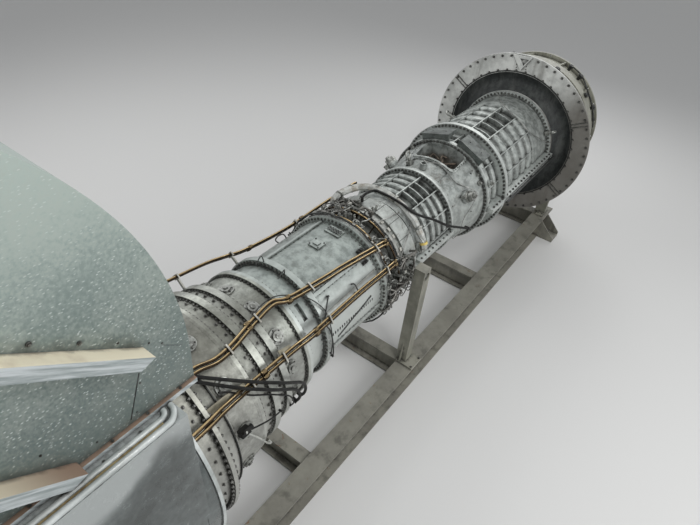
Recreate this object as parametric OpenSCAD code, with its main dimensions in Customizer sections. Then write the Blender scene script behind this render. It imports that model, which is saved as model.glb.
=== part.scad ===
// Two-spool gas turbine with its base frame, inlet housing and exhaust elbow.
// The engine lies along X, its inlet towards +X. Z is up, and the floor is at Z = 0.
// The origin is on the floor, at the middle of the four anchor bolts.

/* [Placing] */
// Height of the engine's axis above the floor
axis_h = 1500; // [1400:10:1700]
// Place of the inlet ring's rear face along the engine
ring_x = 3600; // [3500:10:3700]

/* [Inlet] */
// Outer radius of the inlet ring plate
ring_r = 1100; // [1050:5:1150]
// Share of the space round the front flange that the seal spans inside the ring plate
seal_share = 0.4804; // [0.44:0.0001:0.52]
// Thickness of the inlet ring plate
ring_t = 30; // [20:1:40]
// Length of the ribbed inlet housing
housing_len = 880; // [800:10:1000]
// Radius of the inlet housing at its front end
housing_front_r = 860; // [840:5:880]
// Wall of the inlet housing
housing_wall = 16; // [10:1:20]
// Number of ribs along the inlet housing
housing_ribs = 12; // [8:1:16]
// Radius of the nose bullet where it meets the first blades
hub_r = 300; // [280:5:330]
// Number of inlet guide vanes
vane_count = 24; // [12:1:30]

/* [Compressors] */
// Gap along the engine from the ring's rear face to the front flange
front_gap = 100; // [80:5:140]
// Length of the front compressor casing
lpc_front_len = 1475; // [1400:5:1550]
// Radius of the front compressor casing between its ribs
lpc_r = 570; // [550:5:590]
// Radius of the front flange of the front compressor casing
lpc_flange_r = 640; // [630:2:650]
// Radius of the flange between the two low-pressure casings
lpc_mid_flange_r = 678; // [665:1:700]
// Length of the rear low-pressure casing
lpc_rear_len = 350; // [320:5:400]
// Height of the casting's ribs
rib_h = 32; // [20:1:40]
// Number of ribs along the low-pressure casings
lpc_ribs = 16; // [12:1:20]
// Number of bands round the front compressor casing
lpc_bands = 5; // [4:1:6]
// Length of the intermediate casing
inter_len = 645; // [600:5:700]
// Radius of the front flange of the intermediate casing
inter_flange_r = 611; // [605:1:625]
// Radius of the rear flange of the intermediate casing
hpc_flange_r = 518; // [505:1:535]
// Length of the ribbed high-pressure casing
hpc_len = 700; // [650:5:750]
// Radius of the high-pressure casing between its ribs
hpc_r = 455; // [440:5:470]
// Number of ribs along the high-pressure casing
hpc_ribs = 14; // [10:1:18]
// Number of bands round the high-pressure casing
hpc_bands = 4; // [3:1:5]
// Length of the smooth bleed collar
collar_len = 250; // [220:5:280]

/* [Combustor and turbines] */
// Length of the burner section
burner_len = 370; // [340:5:400]
// Number of burner heads round the engine
burner_count = 16; // [12:1:18]
// Length of the combustor casing
comb_len = 835; // [780:5:880]
// Radius of the combustor casing's skin
comb_r = 520; // [500:5:535]
// Radius of the flanges of the combustor casing
comb_flange_r = 568; // [556:1:585]
// Length of the skirt behind the combustor
skirt_len = 265; // [240:5:290]
// Radius of the flange at the front of the first turbine casing
turb_a_r = 585; // [578:1:600]
// Length of the first turbine casing
turb_a_len = 298; // [280:2:320]
// Radius of the flange at the front of the second turbine casing
turb_b_r = 627; // [615:1:640]
// Length of the second turbine casing
turb_b_len = 160; // [150:2:190]
// Radius of the flange at the front of the third turbine casing
turb_c_r = 662; // [650:1:672]
// Length of the third turbine casing
turb_c_len = 171; // [160:1:190]
// Radius of the flange at the front of the exit cone
turb_d_r = 683; // [676:1:700]
// Length of the exit cone
exit_len = 407; // [380:1:430]
// Radius of the flange at the rear of the exit cone
exit_r = 800; // [780:5:810]
// Thickness of one flange of a pair
flange_t = 28; // [20:1:34]

/* [Exhaust] */
// Radius of the rounded lower part of the exhaust collector
hood_r = 880; // [860:5:900]
// Half of the collector's width at its top
hood_top_half = 800; // [760:5:840]
// Length of the duct above the exhaust collector
hood_len = 1900; // [1700:10:2000]
// How far the collector's front rim stands behind the duct's front wall
hood_setback = 90; // [60:5:120]
// How far the collector's straight-sided box stands behind the duct's front wall
box_setback = 170; // [150:5:200]
// Half of the duct's width
duct_half_w = 660; // [640:5:680]
// Height of the duct's joint above the engine's axis
ledge_h = 1045; // [1000:5:1100]
// Height of the bend's inner corner above the engine's axis
bend_h = 1265; // [1200:5:1300]
// Angle through which the duct leans back
bend_angle = 52; // [45:1:60]
// Length of the straight duct behind the bend
tail_len = 300; // [250:10:400]
// Wall of the exhaust collector and duct
duct_wall = 8; // [5:1:12]
// Width of the flange round the outlet
outlet_flange_w = 70; // [50:5:90]
// Height of the folded strips on the duct's sides
strip_w = 68; // [50:2:90]
// How far the folded strips stand out from the duct's sides
strip_h = 88; // [60:2:110]

/* [Base] */
// Length of the base frame
base_len = 8600; // [8400:50:8800]
// Half of the distance between the two rails
rail_half_gap = 700; // [650:10:750]
// Height of the rails
rail_h = 300; // [260:10:340]
// Width of the rails' flanges
rail_w = 200; // [180:10:240]
// Distance between the anchor bolts along the base
anchor_pitch_x = 8000; // [7800:50:8200]
// Distance between the anchor bolts across the base
anchor_pitch_y = 1800; // [1760:10:1900]
// Radius of the anchor bolt holes
anchor_hole_r = 21; // [18:0.5:24]

/* [Hidden] */

// How finely the round shapes are drawn
round_fn = 96;
seat_fn = 360;
tube_sides = 8;
deg_per_rad = 57.3;

// Stations along the engine, from the inlet to the exhaust
ring_in_r = lpc_flange_r + (ring_r - lpc_flange_r) * seal_share;
front_x = ring_x - front_gap;
mid_x = front_x - lpc_front_len;
inter_x = mid_x - lpc_rear_len;
hpc_x = inter_x - inter_len;
collar_x = hpc_x - hpc_len;
burner_x = collar_x - collar_len;
comb_x = burner_x - burner_len;
skirt_x = comb_x - comb_len;
turb_a_x = skirt_x - skirt_len;
turb_b_x = turb_a_x - turb_a_len;
turb_c_x = turb_b_x - turb_b_len;
exit_x = turb_c_x - turb_c_len;
hood_gap = 90;
exit_end_x = exit_x - exit_len;
hood_x = exit_end_x - hood_gap;
hood_end_x = hood_x - hood_len;
rim_x = hood_x - hood_setback;
box_x = hood_x - box_setback;

// Rolled sections and plates of the base
rail_web = 12;
rail_flange = 18;
cross_w = 140;
saddle_t = 60;
base_plate_t = 20;
rail_seat = rail_half_gap + rail_w / 2;
foot_len = 260;
foot_t = 30;
foot_rib_t = 14;

// Places of the supports along the engine
housing_x = ring_x + ring_t;
housing_end_x = housing_x + housing_len;
front_saddle_x = housing_x + housing_len / 2;
post_x = collar_x - collar_len / 2;
hood_inset = 260;
hood_saddle_x = [rim_x - hood_inset, hood_end_x + hood_inset];
cross_places = [front_saddle_x, mid_x, post_x, turb_a_x, hood_saddle_x[0], hood_saddle_x[1]];

// Height of a cradle's horns below the axis, as a share of its radius
saddle_top = 0.45;
saddle_lean = 0.94;
post_rib = [40, 300];

// Inlet housing and ring
band_r = ring_r - 140;
band_w = 140;
housing_rear_r = ring_r - 115;
housing_back_r = ring_r - 40;
housing_flange_w = 60;
housing_rib_t = 14;
rib_front_r = housing_front_r + 48;
rib_back_r = ring_r - 60;
inlet_bolt_r = 11;
inlet_bolt_count = 12;
inlet_pcd_r = housing_front_r + housing_flange_w - 25;
gusset_t = 24;
gusset_edge = 12;
gusset_tip = 40;
// Triangular hole of the gusset: its share of the outline and its place to one side
gusset_window = 0.45;
gusset_window_y = -30;
gusset_half_w = 130;
gusset_angle = -4.6;
seal_t = 12;
seal_dish = 60;
bell_r = 560;
bell_t = 12;
throat_len = 190;
bullet_len = 520;
vane_x = front_x + 30;
vane_len = 130;
vane_t = 9;
vane_turn = 18;

// Compressor casings
split_h = 56;
split_out = 50;
rib_w = 12;
rib_seat = 10;
lpc_pitch = 190;
lpc_rib_start = 1;
lpc_step_r = lpc_r + rib_h - 6;
pocket_depth = 30;
bay_margin = 2;
lpc_rear_r = lpc_r - 30;
grid_end_x = mid_x + flange_t + lpc_pitch * lpc_bands;
grid_ramp = 150;
hpc_rib_start = 6.5;
hpc_smooth_len = 190;
hpc_front_gap = 30;
hpc_ridge_h = 24;
hpc_ridges = [0, 60, 70, 120, 130, 185];
hpc_port_x = 730;
hpc_port_angle = -68.5;
hpc_port_r = 520;
inter_front_r = 572;
inter_rear_r = 482;
// Share of its pitch that a rounded band takes
band_share = 0.62;
pad_angle = 62;
pad_w = 60;
pad_r = 640;

// Open well, shallow tray, ports and actuators of the intermediate casing
well_half_w = 240;
well_len = 290;
well_depth = 190;
well_corner = 60;
well_x = inter_x - flange_t - 12 - well_len;
tray_len = 230;
tray_half_w = 215;
tray_depth = 16;
tray_x = well_x - 40 - tray_len;
cup_r = 38;
cup_bore = 27;
cup_h = 95;
cup_place = [tray_x + 85, 20];
lip_w = 24;
lip_h = 10;
lip_front = 9;
// Ports: place behind the casing's front, angle from the top, radius
port_places = [[380, -33, 34], [120, 41.5, 10], [587, 42, 10]];
canister_angle = 60;
canister_back = 345;
canister_x = inter_x - canister_back;
canister_r = 52;
canister_seat_r = 560;
canister_h = 70;

// Angle brackets on the intermediate flange
bracket_t = 10;
bracket_r = 668;
bracket_reach = 195;
bracket_half_angle = 14;
bracket_angles = [24, -17];
bracket_bolt_r = 9;

// Bleed collar, posts and burners
collar_end_r = 470;
post_w = 120;
trunnion_r = 45;
panel_r = 520;
trunnion_y = panel_r + 55;
running_gap = 0.3;
panel_count = 18;
panel_seam = 6;
bleed_port_r = 540;
bleed_end_r = 520;
bleed_boss_r = 40;
bleed_start_angle = -36;
bleed_end_angle = 73;
burner_core_r = 430;
burner_flange_r = 535;
burner_flange_x = burner_x - 95;
burner_skin_r = 500;
burner_head_x = comb_x + 125;
fuel_ring_r = 545;
fuel_front_x = comb_x + 215;
fuel_rear_x = comb_x + 62;
fuel_front_tube = 11;
fuel_rear_tube = 13;
slot_count = 20;
slot_pitch = 31;
slot_w = 14;
slot_h = 30;
slot_angle = 82;
slot_first = 60;
slot_deep = 22;
cover_angle = 1;
// Covers: place behind the ring, length, width and height
cover_shapes = [[-4310, 110, 110, 14], [-4280, 50, 50, 24], [-4060, 100, 150, 10]];
cover_hole_count = 5;
cover_hole_pitch = 28;
cover_holes_x = -4010;
cover_rim_h = 22;
cover_rim_r = 12;
cover_hole_r = 8;
skirt_slot = [46, 150, 200];
skirt_slot_angle = 42;
bleed_end_x = -3225;
panel_step = 15;
panel_gap = 55;
head_len = 64;
head_w = 84;
head_r = 515;
comb_rails = 6;
comb_rail_w = 30;
comb_rail_h = 16;
comb_rail_start = -22;

// Turbine casings and their inspection bosses
turb_a_body_r = 560;
boss_r = 62;
boss_x = turb_a_x - 190;
boss_count = 13;
boss_start = 16;
cone_band_r = 690;
boss_rear_x = exit_x - 161;
boss_rear_count = 12;
boss_rear_start = 14;

// Gas passage, tail cone and output coupling
tail_hub_r = 420;
passage_depth = 240;
coupling_t = 40;
coupling_out = 200;
coupling_r = 230;
coupling_pcd_r = 190;
coupling_holes = 12;
coupling_hole_r = 13;
shaft_r = 130;

// Strips and beads of the exhaust duct and collector
neck_step = 20;
bead_r = 17;
bead_lift = 4;
bead_half_w = [735, 779];
bead_turn_y = duct_half_w + 34;
drum_lip = 30;
rim_bead_r = 12;
ledge_w = 24;
ledge_t = 30;
duct_rise = bend_h - ledge_h;
bend_steps = 26;
strip_top = [630, 1203];
strip_low = [-1069, -1159];
strip_cut = 48;
strip_gap = 20;

// Thin rails beside the compressor, and pipes
side_rail_r = 14;
clamp_t = 12;
// Flanges that carry the clamps: place along the engine and radius of the rim
clamp_seats = [[comb_x, comb_flange_r], [skirt_x, comb_flange_r], [turb_b_x, turb_b_r],
    [exit_x, turb_d_r]];
oil_pipe_r = 14;
bleed_pipe_r = 36;
pipe_pitch = 36;
// Routes: place behind the ring, angle from the top towards the right side, radius
route_top = [[-3760, 39, 597], [-4300, 33, 610], [-4560, 31, 625], [-4960, 27, 655],
    [-5090, 23, 665], [-5300, 25, 690], [-5560, 29, 725], [-5730, 30, 750], [-5900, 28, 815],
    [-6020, 28, 830]];
route_side = [[-3760, 59, 597], [-4300, 57, 610], [-4830, 56, 640], [-5010, 55, 660],
    [-5200, 53, 690], [-5640, 51, 735], [-5900, 49, 815], [-6020, 49, 830]];
route_far = [[-2870, -70, hpc_port_r + running_gap], [-2870, -69.5, 570], [-2895, -67.5, 600],
    [-2950, -65, 615], [-3490, -64.5, 613], [-4000, -64.7, 608], [-4540, -59.8, 636], [-4790, -54.7, 674],
    [-5020, -50.7, 711], [-5470, -46.6, 757], [-5900, -44, 815], [-6020, -44, 830]];
route_bleed = [[-3570, -36, bleed_port_r + running_gap], [-3570, -36, 572], [-3552, -35.7, 592],
    [-3505, -35, 604], [-3430, -33.5, 606], [-3350, -31, 600], [-3285, -26.5, 588], [-3242, -19, 575],
    [-3228, -10, 565], [bleed_end_x, 5, 558], [bleed_end_x, 24, 554], [bleed_end_x, 42, 552],
    [bleed_end_x, 58, 552], [bleed_end_x, 68, 556], [bleed_end_x, 72, 552],
    [bleed_end_x, bleed_end_angle, 540], [bleed_end_x, bleed_end_angle, bleed_end_r + running_gap]];

// A solid or ring turned round the engine's axis, from points of radius and X
module turned(profile, fn = round_fn) {
    translate([0, 0, axis_h]) rotate([0, 90, 0]) rotate_extrude($fn = fn) polygon(profile);
}

// Copies of its children round the engine's axis, the first at the top
module round_axis(count, start = 0) {
    for (i = [0:count - 1])
        translate([0, 0, axis_h]) rotate([start + i * 360 / count, 0, 0]) children();
}

// One set of its children at an angle from the top, towards the right side
module at_angle(angle) {
    translate([0, 0, axis_h]) rotate([angle, 0, 0]) children();
}

// Steps of a profile for ribs that run round a casing, from rear to front
function rib_steps(first_x, pitch, count, low_r, high_r, width) =
    [for (i = [0:count - 1]) let (x = first_x + i * pitch)
        each [[low_r, x - width / 2], [high_r, x - width / 2],
              [high_r, x + width / 2], [low_r, x + width / 2]]];

// Ribs that run along a casing
module long_ribs(count, from_x, to_x, low_r, high_r, width, start = 0) {
    round_axis(count, start)
        translate([from_x, -width / 2, low_r]) cube([to_x - from_x, width, high_r - low_r]);
}

// A rolled beam along X, its lower face at Z = 0
module beam_x(length, height, width, web, flange) {
    rotate([90, 0, 90]) linear_extrude(length) polygon([
        [-width / 2, 0], [width / 2, 0], [width / 2, flange], [web / 2, flange],
        [web / 2, height - flange], [width / 2, height - flange], [width / 2, height],
        [-width / 2, height], [-width / 2, height - flange], [-web / 2, height - flange],
        [-web / 2, flange], [-width / 2, flange]]);
}

// A plate in the XZ plane, centred on Y = 0
module plate_xz(points, width) {
    rotate([90, 0, 0]) linear_extrude(width, center = true) polygon(points);
}

// Points of an arc round a centre
function arc_points(cx, cy, radius, from, to, steps) =
    [for (i = [0:steps]) let (a = from + (to - from) * i / steps)
        [cx + radius * cos(a), cy + radius * sin(a)]];

module base_rail(side) {
    color([0.44, 0.42, 0.34])
        translate([-base_len / 2, side * rail_half_gap, 0])
            beam_x(base_len, rail_h, rail_w, rail_web, rail_flange);
}

module base_cross_beams() {
    cross_len = 2 * rail_half_gap - rail_web;
    cross_h = rail_h - 2 * rail_flange;
    color([0.44, 0.42, 0.34])
        for (x = cross_places)
            translate([x, -cross_len / 2, rail_flange]) rotate([0, 0, 90])
                beam_x(cross_len, cross_h, cross_w, rail_web, rail_flange);
}

// Foot plates beside the rails, one at each anchor bolt
module anchor_feet() {
    outer_y = anchor_pitch_y / 2 + foot_len / 2;
    web_y = rail_half_gap + rail_web / 2;
    color([0.44, 0.42, 0.34])
        for (sx = [-1, 1]) for (sy = [-1, 1])
            translate([sx * anchor_pitch_x / 2, 0, 0]) mirror([0, sy < 0 ? 1 : 0, 0]) {
                difference() {
                    translate([-foot_len / 2, rail_seat, 0])
                        cube([foot_len, outer_y - rail_seat, foot_t]);
                    translate([0, anchor_pitch_y / 2, -1])
                        cylinder(h = foot_t + 2, r = anchor_hole_r, $fn = 48);
                }
                for (x = [-1, 1])
                    translate([x * (foot_len - foot_rib_t) / 2, 0, 0])
                        rotate([90, 0, 90]) linear_extrude(foot_rib_t, center = true) polygon([
                            [web_y, rail_flange], [rail_seat, rail_flange], [rail_seat, foot_t],
                            [outer_y, foot_t], [outer_y, 2 * foot_t],
                            [rail_seat, rail_h - rail_flange], [web_y, rail_h - rail_flange]]);
            }
}

// A cradle across both rails that a round casing lies in
module saddle(x, radius) {
    half_w = rail_seat - rail_w / 4;
    top_z = axis_h - radius * saddle_top;
    lean_w = radius * saddle_lean;
    window_w = rail_half_gap - rail_w / 2;
    window_top = axis_h - radius - 3 * rail_flange;
    translate([x, 0, 0]) rotate([90, 0, 90]) linear_extrude(saddle_t, center = true)
        difference() {
            polygon([[-half_w, rail_h], [half_w, rail_h], [half_w, rail_h + rail_w],
                     [lean_w, top_z], [-lean_w, top_z], [-half_w, rail_h + rail_w]]);
            translate([0, axis_h]) circle(r = radius, $fn = round_fn);
            if (window_top > rail_h)
                translate([-window_w, rail_h - 1]) square([2 * window_w, window_top - rail_h + 1]);
        }
    // Feet of the cradle on the rails
    for (side = [-1, 1]) for (end = [-1, 1])
        translate([x + end * (saddle_t + rail_w / 2) / 2, side * rail_half_gap, rail_h + base_plate_t / 2])
            cube([rail_w / 2, rail_w / 2, base_plate_t], center = true);
}

module front_legs() {
    color([0.50, 0.48, 0.37]) saddle(front_saddle_x, band_r);
}

module exhaust_legs() {
    color([0.50, 0.48, 0.37]) for (x = hood_saddle_x) saddle(x, hood_r);
}

// Posts beside the collar, each with a head plate that its trunnion lies in
module middle_posts() {
    post_y = trunnion_y + post_w / 2;
    head_z = axis_h + trunnion_r + 35;
    color([0.50, 0.48, 0.37])
        for (side = [-1, 1]) mirror([0, side < 0 ? 1 : 0, 0]) {
            difference() {
                translate([post_x - post_w / 2, post_y - post_w / 2, rail_h + base_plate_t])
                    cube([post_w, post_w, head_z - rail_h - base_plate_t]);
                translate([post_x, post_y - post_w, axis_h]) rotate([-90, 0, 0])
                    cylinder(h = 2 * post_w, r = trunnion_r, $fn = 48);
            }
            translate([post_x - rail_w / 2, rail_seat - rail_w, rail_h])
                cube([rail_w, rail_w, base_plate_t]);
            for (end = [-1, 1])
                translate([post_x + end * post_w / 2, post_y, rail_h + base_plate_t])
                    mirror([end < 0 ? 1 : 0, 0, 0])
                        plate_xz([[0, 0], [post_rib[0], 0], [0, post_rib[1]]], foot_rib_t);
        }
}

// Ribs along the tapered drum, down to the band where the cradle carries it
module housing_ribs_set() {
    round_axis(housing_ribs, 180 / housing_ribs)
        plate_xz([[housing_x + flange_t - 1, housing_rear_r - housing_wall / 2],
                  [housing_end_x - flange_t + 1, housing_front_r - housing_wall / 2],
                  [housing_end_x - flange_t + 1, rib_front_r],
                  [front_saddle_x + band_w / 2 - 1, band_r - 1],
                  [front_saddle_x - band_w / 2 + 1, band_r - 1],
                  [housing_x + flange_t - 1, rib_back_r]], housing_rib_t);
}

// Inlet housing, a tapered drum with a flange at each end
module inlet_housing() {
    color([0.52, 0.51, 0.40]) difference() {
        union() {
            turned([[housing_rear_r - housing_wall, housing_x],
                [housing_back_r, housing_x], [housing_back_r, housing_x + flange_t],
                [housing_rear_r, housing_x + flange_t],
                [band_mid_r(-1), front_saddle_x - band_w / 2], [band_r, front_saddle_x - band_w / 2],
                [band_r, front_saddle_x + band_w / 2], [band_mid_r(1), front_saddle_x + band_w / 2],
                [housing_front_r, housing_end_x - flange_t],
                [housing_front_r + housing_flange_w, housing_end_x - flange_t],
                [housing_front_r + housing_flange_w, housing_end_x],
                [housing_front_r - housing_wall, housing_end_x],
                [housing_front_r - housing_wall, housing_end_x - flange_t]]);
            housing_ribs_set();
        }
        round_axis(inlet_bolt_count)
            translate([housing_end_x - flange_t - 1, 0, inlet_pcd_r]) rotate([0, 90, 0])
                cylinder(h = flange_t + 2, r = inlet_bolt_r, $fn = 32);
    }
}

// Radius of the tapered drum at either edge of its band
function band_mid_r(end) = housing_rear_r - (housing_rear_r - housing_front_r)
    * (housing_len / 2 + end * band_w / 2 - flange_t) / (housing_len - 2 * flange_t);

module inlet_ring() {
    color([0.62, 0.60, 0.54])
        turned([[ring_in_r, ring_x], [ring_r, ring_x], [ring_r, housing_x], [ring_in_r, housing_x]]);
}

// Triangular gusset on the ring's face, with its own triangular hole
module ring_gusset() {
    tip_r = ring_in_r + gusset_tip;
    top_r = ring_r - gusset_edge;
    mid_r = (2 * top_r + tip_r) / 3;
    color([0.60, 0.58, 0.52]) at_angle(gusset_angle)
        translate([ring_x - gusset_t, 0, 0]) rotate([90, 0, 90]) linear_extrude(gusset_t)
            difference() {
                polygon([[0, tip_r], [gusset_half_w, top_r], [-gusset_half_w, top_r]]);
                translate([gusset_window_y, mid_r])
                    polygon(gusset_window * [[0, tip_r - mid_r], [gusset_half_w, top_r - mid_r],
                                             [-gusset_half_w, top_r - mid_r]]);
            }
}

// Dished flexible seal between the ring and the front flange of the compressor
module inlet_seal() {
    steps = 8;
    inner = lpc_flange_r;
    span = ring_in_r - inner;
    face = [for (i = [0:steps]) let (s = i / steps)
        [inner + span * s, front_x + flange_t + seal_t
            + (ring_x - front_x - flange_t) * s + seal_dish * sin(180 * s)]];
    back = [for (i = [steps:-1:0]) [face[i][0], face[i][1] - seal_t]];
    color([0.10, 0.11, 0.12]) turned(concat(face, back));
}

// Flared mouth that leads the air to the guide vanes
module bellmouth() {
    steps = 9;
    mouth_r = housing_front_r - housing_wall;
    mouth_x = housing_end_x;
    flare = [for (i = [0:steps]) let (a = 90 * i / steps)
        [bell_r + (mouth_r - bell_t - bell_r) * (1 - cos(a)),
         front_x + throat_len + (mouth_x - front_x - throat_len) * sin(a)]];
    back = [for (i = [steps:-1:0]) [flare[i][0] + bell_t, flare[i][1]]];
    color([0.66, 0.66, 0.62]) turned(concat(
        [[bell_r, front_x]], flare, back,
        [[bell_r + bell_t, front_x + flange_t], [lpc_flange_r, front_x + flange_t],
         [lpc_flange_r, front_x]]));
}

module nose_bullet() {
    steps = 10;
    nose = [for (i = [0:steps]) let (a = 90 * i / steps)
        [hub_r * cos(a), front_x + throat_len + (bullet_len - throat_len) * sin(a)]];
    color([0.62, 0.62, 0.60]) turned(concat([[0, front_x], [hub_r, front_x]], nose));
}

module inlet_guide_vanes() {
    color([0.60, 0.60, 0.58]) intersection() {
        turned([[hub_r, vane_x], [bell_r, vane_x], [bell_r, vane_x + vane_len],
                [hub_r, vane_x + vane_len]]);
        round_axis(vane_count)
            translate([vane_x + vane_len / 2, 0, hub_r - 10]) rotate([0, 0, vane_turn])
                translate([-vane_len, -vane_t / 2, 0])
                    cube([2 * vane_len, vane_t, bell_r - hub_r + 40]);
    }
}

// Horizontal joint flanges that run along both sides of a casing
module split_flanges(from_x, to_x, half_w) {
    translate([from_x, -half_w, axis_h - split_h / 2]) cube([to_x - from_x, 2 * half_w, split_h]);
}

// Rounded bands that run round a casing, from rear to front
function round_bands(first_x, pitch, count, low_r, high_r) =
    [for (i = [0:count - 1]) each [for (a = [0:45:180])
        [low_r + (high_r - low_r) * sqrt(sin(a)),
         first_x + (i + 0.5) * pitch - pitch * band_share / 2 * cos(a)]]];

// The sector between two neighbouring ribs along a casing, outside one radius
module open_bay(from_x, to_x, low_r, first_angle, count) {
    difference() {
        at_angle(first_angle + 180 / count) translate([from_x + bay_margin, 0, 0]) rotate([90, 0, 90])
            linear_extrude(to_x - from_x - 2 * bay_margin) polygon([[0, 0],
                [-ring_r * sin(180 / count), ring_r * cos(180 / count)],
                [ring_r * sin(180 / count), ring_r * cos(180 / count)]]);
        turned([[0, from_x - 1], [low_r, from_x - 1], [low_r, to_x + 1], [0, to_x + 1]]);
    }
}

// Thin webs that cross an open bay where the rounded bands are left out
module bay_webs(first_x, pitch, count, low_r, high_r, first_angle, rib_count) {
    intersection() {
        open_bay(first_x, first_x + pitch * count, low_r - rib_seat, first_angle, rib_count);
        turned(concat([[low_r - rib_seat, first_x + 1]],
            rib_steps(first_x + pitch, pitch, count - 1, low_r - rib_seat / 2, high_r, rib_w),
            [[low_r - rib_seat, first_x + pitch * count - 1]]));
    }
}

module compressor_front_casing() {
    grid_x = mid_x + flange_t;
    color([0.74, 0.74, 0.70]) {
        difference() {
            turned(concat([[0, mid_x], [lpc_mid_flange_r, mid_x],
                [lpc_mid_flange_r, grid_x], [lpc_r, grid_x]],
                round_bands(grid_x, lpc_pitch, lpc_bands, lpc_r, lpc_r + rib_h),
                [[lpc_r, grid_end_x], [lpc_step_r, grid_end_x + rib_w],
                 [lpc_step_r, grid_end_x + grid_ramp], [lpc_step_r - 8, grid_end_x + grid_ramp + 8],
                 [lpc_step_r - 8, front_x - flange_t], [lpc_flange_r, front_x - flange_t],
                 [lpc_flange_r, front_x], [0, front_x]]));
            open_bay(grid_x, grid_end_x, lpc_r - pocket_depth, lpc_rib_start, lpc_ribs);
        }
        bay_webs(grid_x, lpc_pitch, lpc_bands, lpc_r - pocket_depth, lpc_r + rib_h,
            lpc_rib_start, lpc_ribs);
        long_ribs(lpc_ribs, grid_x - 1, grid_end_x + 1, lpc_r - pocket_depth - rib_seat,
            lpc_r + rib_h + 4, rib_w, lpc_rib_start);
        split_flanges(mid_x + 1, front_x - 1, lpc_flange_r + split_out);
    }
}

module compressor_middle_casing() {
    grid_x = inter_x + flange_t;
    grid_end = mid_x - flange_t;
    pitch = (grid_end - grid_x) / 2;
    top_r = lpc_rear_r + rib_h + 16;
    color([0.74, 0.74, 0.70]) {
        difference() {
            turned(concat([[0, inter_x], [inter_flange_r, inter_x],
                [inter_flange_r, grid_x], [lpc_rear_r, grid_x]],
                round_bands(grid_x, pitch, 2, lpc_rear_r, top_r),
                [[lpc_rear_r, grid_end], [lpc_mid_flange_r, grid_end],
                 [lpc_mid_flange_r, mid_x], [0, mid_x]]));
            open_bay(grid_x, grid_end, lpc_rear_r - pocket_depth, lpc_rib_start, lpc_ribs);
        }
        bay_webs(grid_x, pitch, 2, lpc_rear_r - pocket_depth, top_r, lpc_rib_start, lpc_ribs);
        long_ribs(lpc_ribs, grid_x - 1, grid_end + 1, lpc_rear_r - pocket_depth - rib_seat, top_r + 4,
            rib_w, lpc_rib_start);
        // Bracket pad beside the joint
        at_angle(pad_angle) translate([grid_x - 8, -pad_w / 2, lpc_rear_r - rib_seat])
            cube([pad_w, pad_w, pad_r - lpc_rear_r + rib_seat]);
        split_flanges(inter_x + 1, mid_x - 1, lpc_flange_r + split_out);
    }
}

// Radius of the tapered intermediate casing
function inter_r(x) = inter_rear_r + (inter_front_r - inter_rear_r)
    * (x - hpc_x - flange_t) / (inter_len - 2 * flange_t);

// A block with rounded upright corners, from its low corner and its size
module rounded_block(low, size, corner) {
    for (inset = [[corner, 0], [0, corner]])
        translate([low[0] + inset[0], low[1] + inset[1], low[2]])
            cube([size[0] - 2 * inset[0], size[1] - 2 * inset[1], size[2]]);
    for (x = [corner, size[0] - corner]) for (y = [corner, size[1] - corner])
        translate([low[0] + x, low[1] + y, low[2]]) cylinder(h = size[2], r = corner, $fn = 48);
}

module intermediate_casing() {
    floor_z = axis_h + inter_r(well_x) - well_depth;
    color([0.76, 0.76, 0.73]) {
        difference() {
            union() {
                turned([[0, hpc_x], [hpc_flange_r, hpc_x], [hpc_flange_r, hpc_x + flange_t],
                    [inter_rear_r, hpc_x + flange_t], [inter_front_r, inter_x - flange_t],
                    [inter_flange_r, inter_x - flange_t], [inter_flange_r, inter_x], [0, inter_x]]);
                for (side = [-1, 1]) at_angle(side * canister_angle) translate([canister_x, 0, 0])
                    cylinder(h = canister_seat_r, r = canister_r + 14, $fn = 48);
            }
            rounded_block([well_x, -well_half_w, floor_z], [well_len, 2 * well_half_w, 2 * well_depth],
                well_corner);
            // Shallow tray behind the well, cut to follow the casing
            intersection() {
                rounded_block([tray_x, -tray_half_w, axis_h], [tray_len, 2 * tray_half_w, ring_r],
                    well_corner / 2);
                turned([[inter_rear_r - tray_depth, hpc_x + flange_t],
                    [inter_front_r - tray_depth, inter_x - flange_t],
                    [ring_r, inter_x - flange_t], [ring_r, hpc_x + flange_t]]);
            }
            for (port = port_places) at_angle(port[1])
                translate([inter_x - port[0], 0, inter_rear_r - lip_w])
                    cylinder(h = well_depth, r = port[2], $fn = 48);
        }
        translate([cup_place[0], cup_place[1], axis_h + hpc_r]) difference() {
            cylinder(h = cup_h, r = cup_r, $fn = 48);
            translate([0, 0, cup_h / 2]) cylinder(h = cup_h, r = cup_bore, $fn = 48);
        }
    }
}

// Raised lip round the well
module opening_frame() {
    color([0.66, 0.66, 0.62]) difference() {
        intersection() {
            turned([[inter_rear_r, hpc_x + flange_t], [inter_front_r, inter_x - flange_t],
                [inter_front_r + lip_h, inter_x - flange_t], [inter_rear_r + lip_h, hpc_x + flange_t]]);
            rounded_block([well_x - lip_w, -well_half_w - lip_w, axis_h],
                [well_len + lip_w + lip_front, 2 * (well_half_w + lip_w), ring_r], well_corner);
        }
        rounded_block([well_x, -well_half_w, axis_h], [well_len, 2 * well_half_w, ring_r], well_corner);
    }
}

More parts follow.
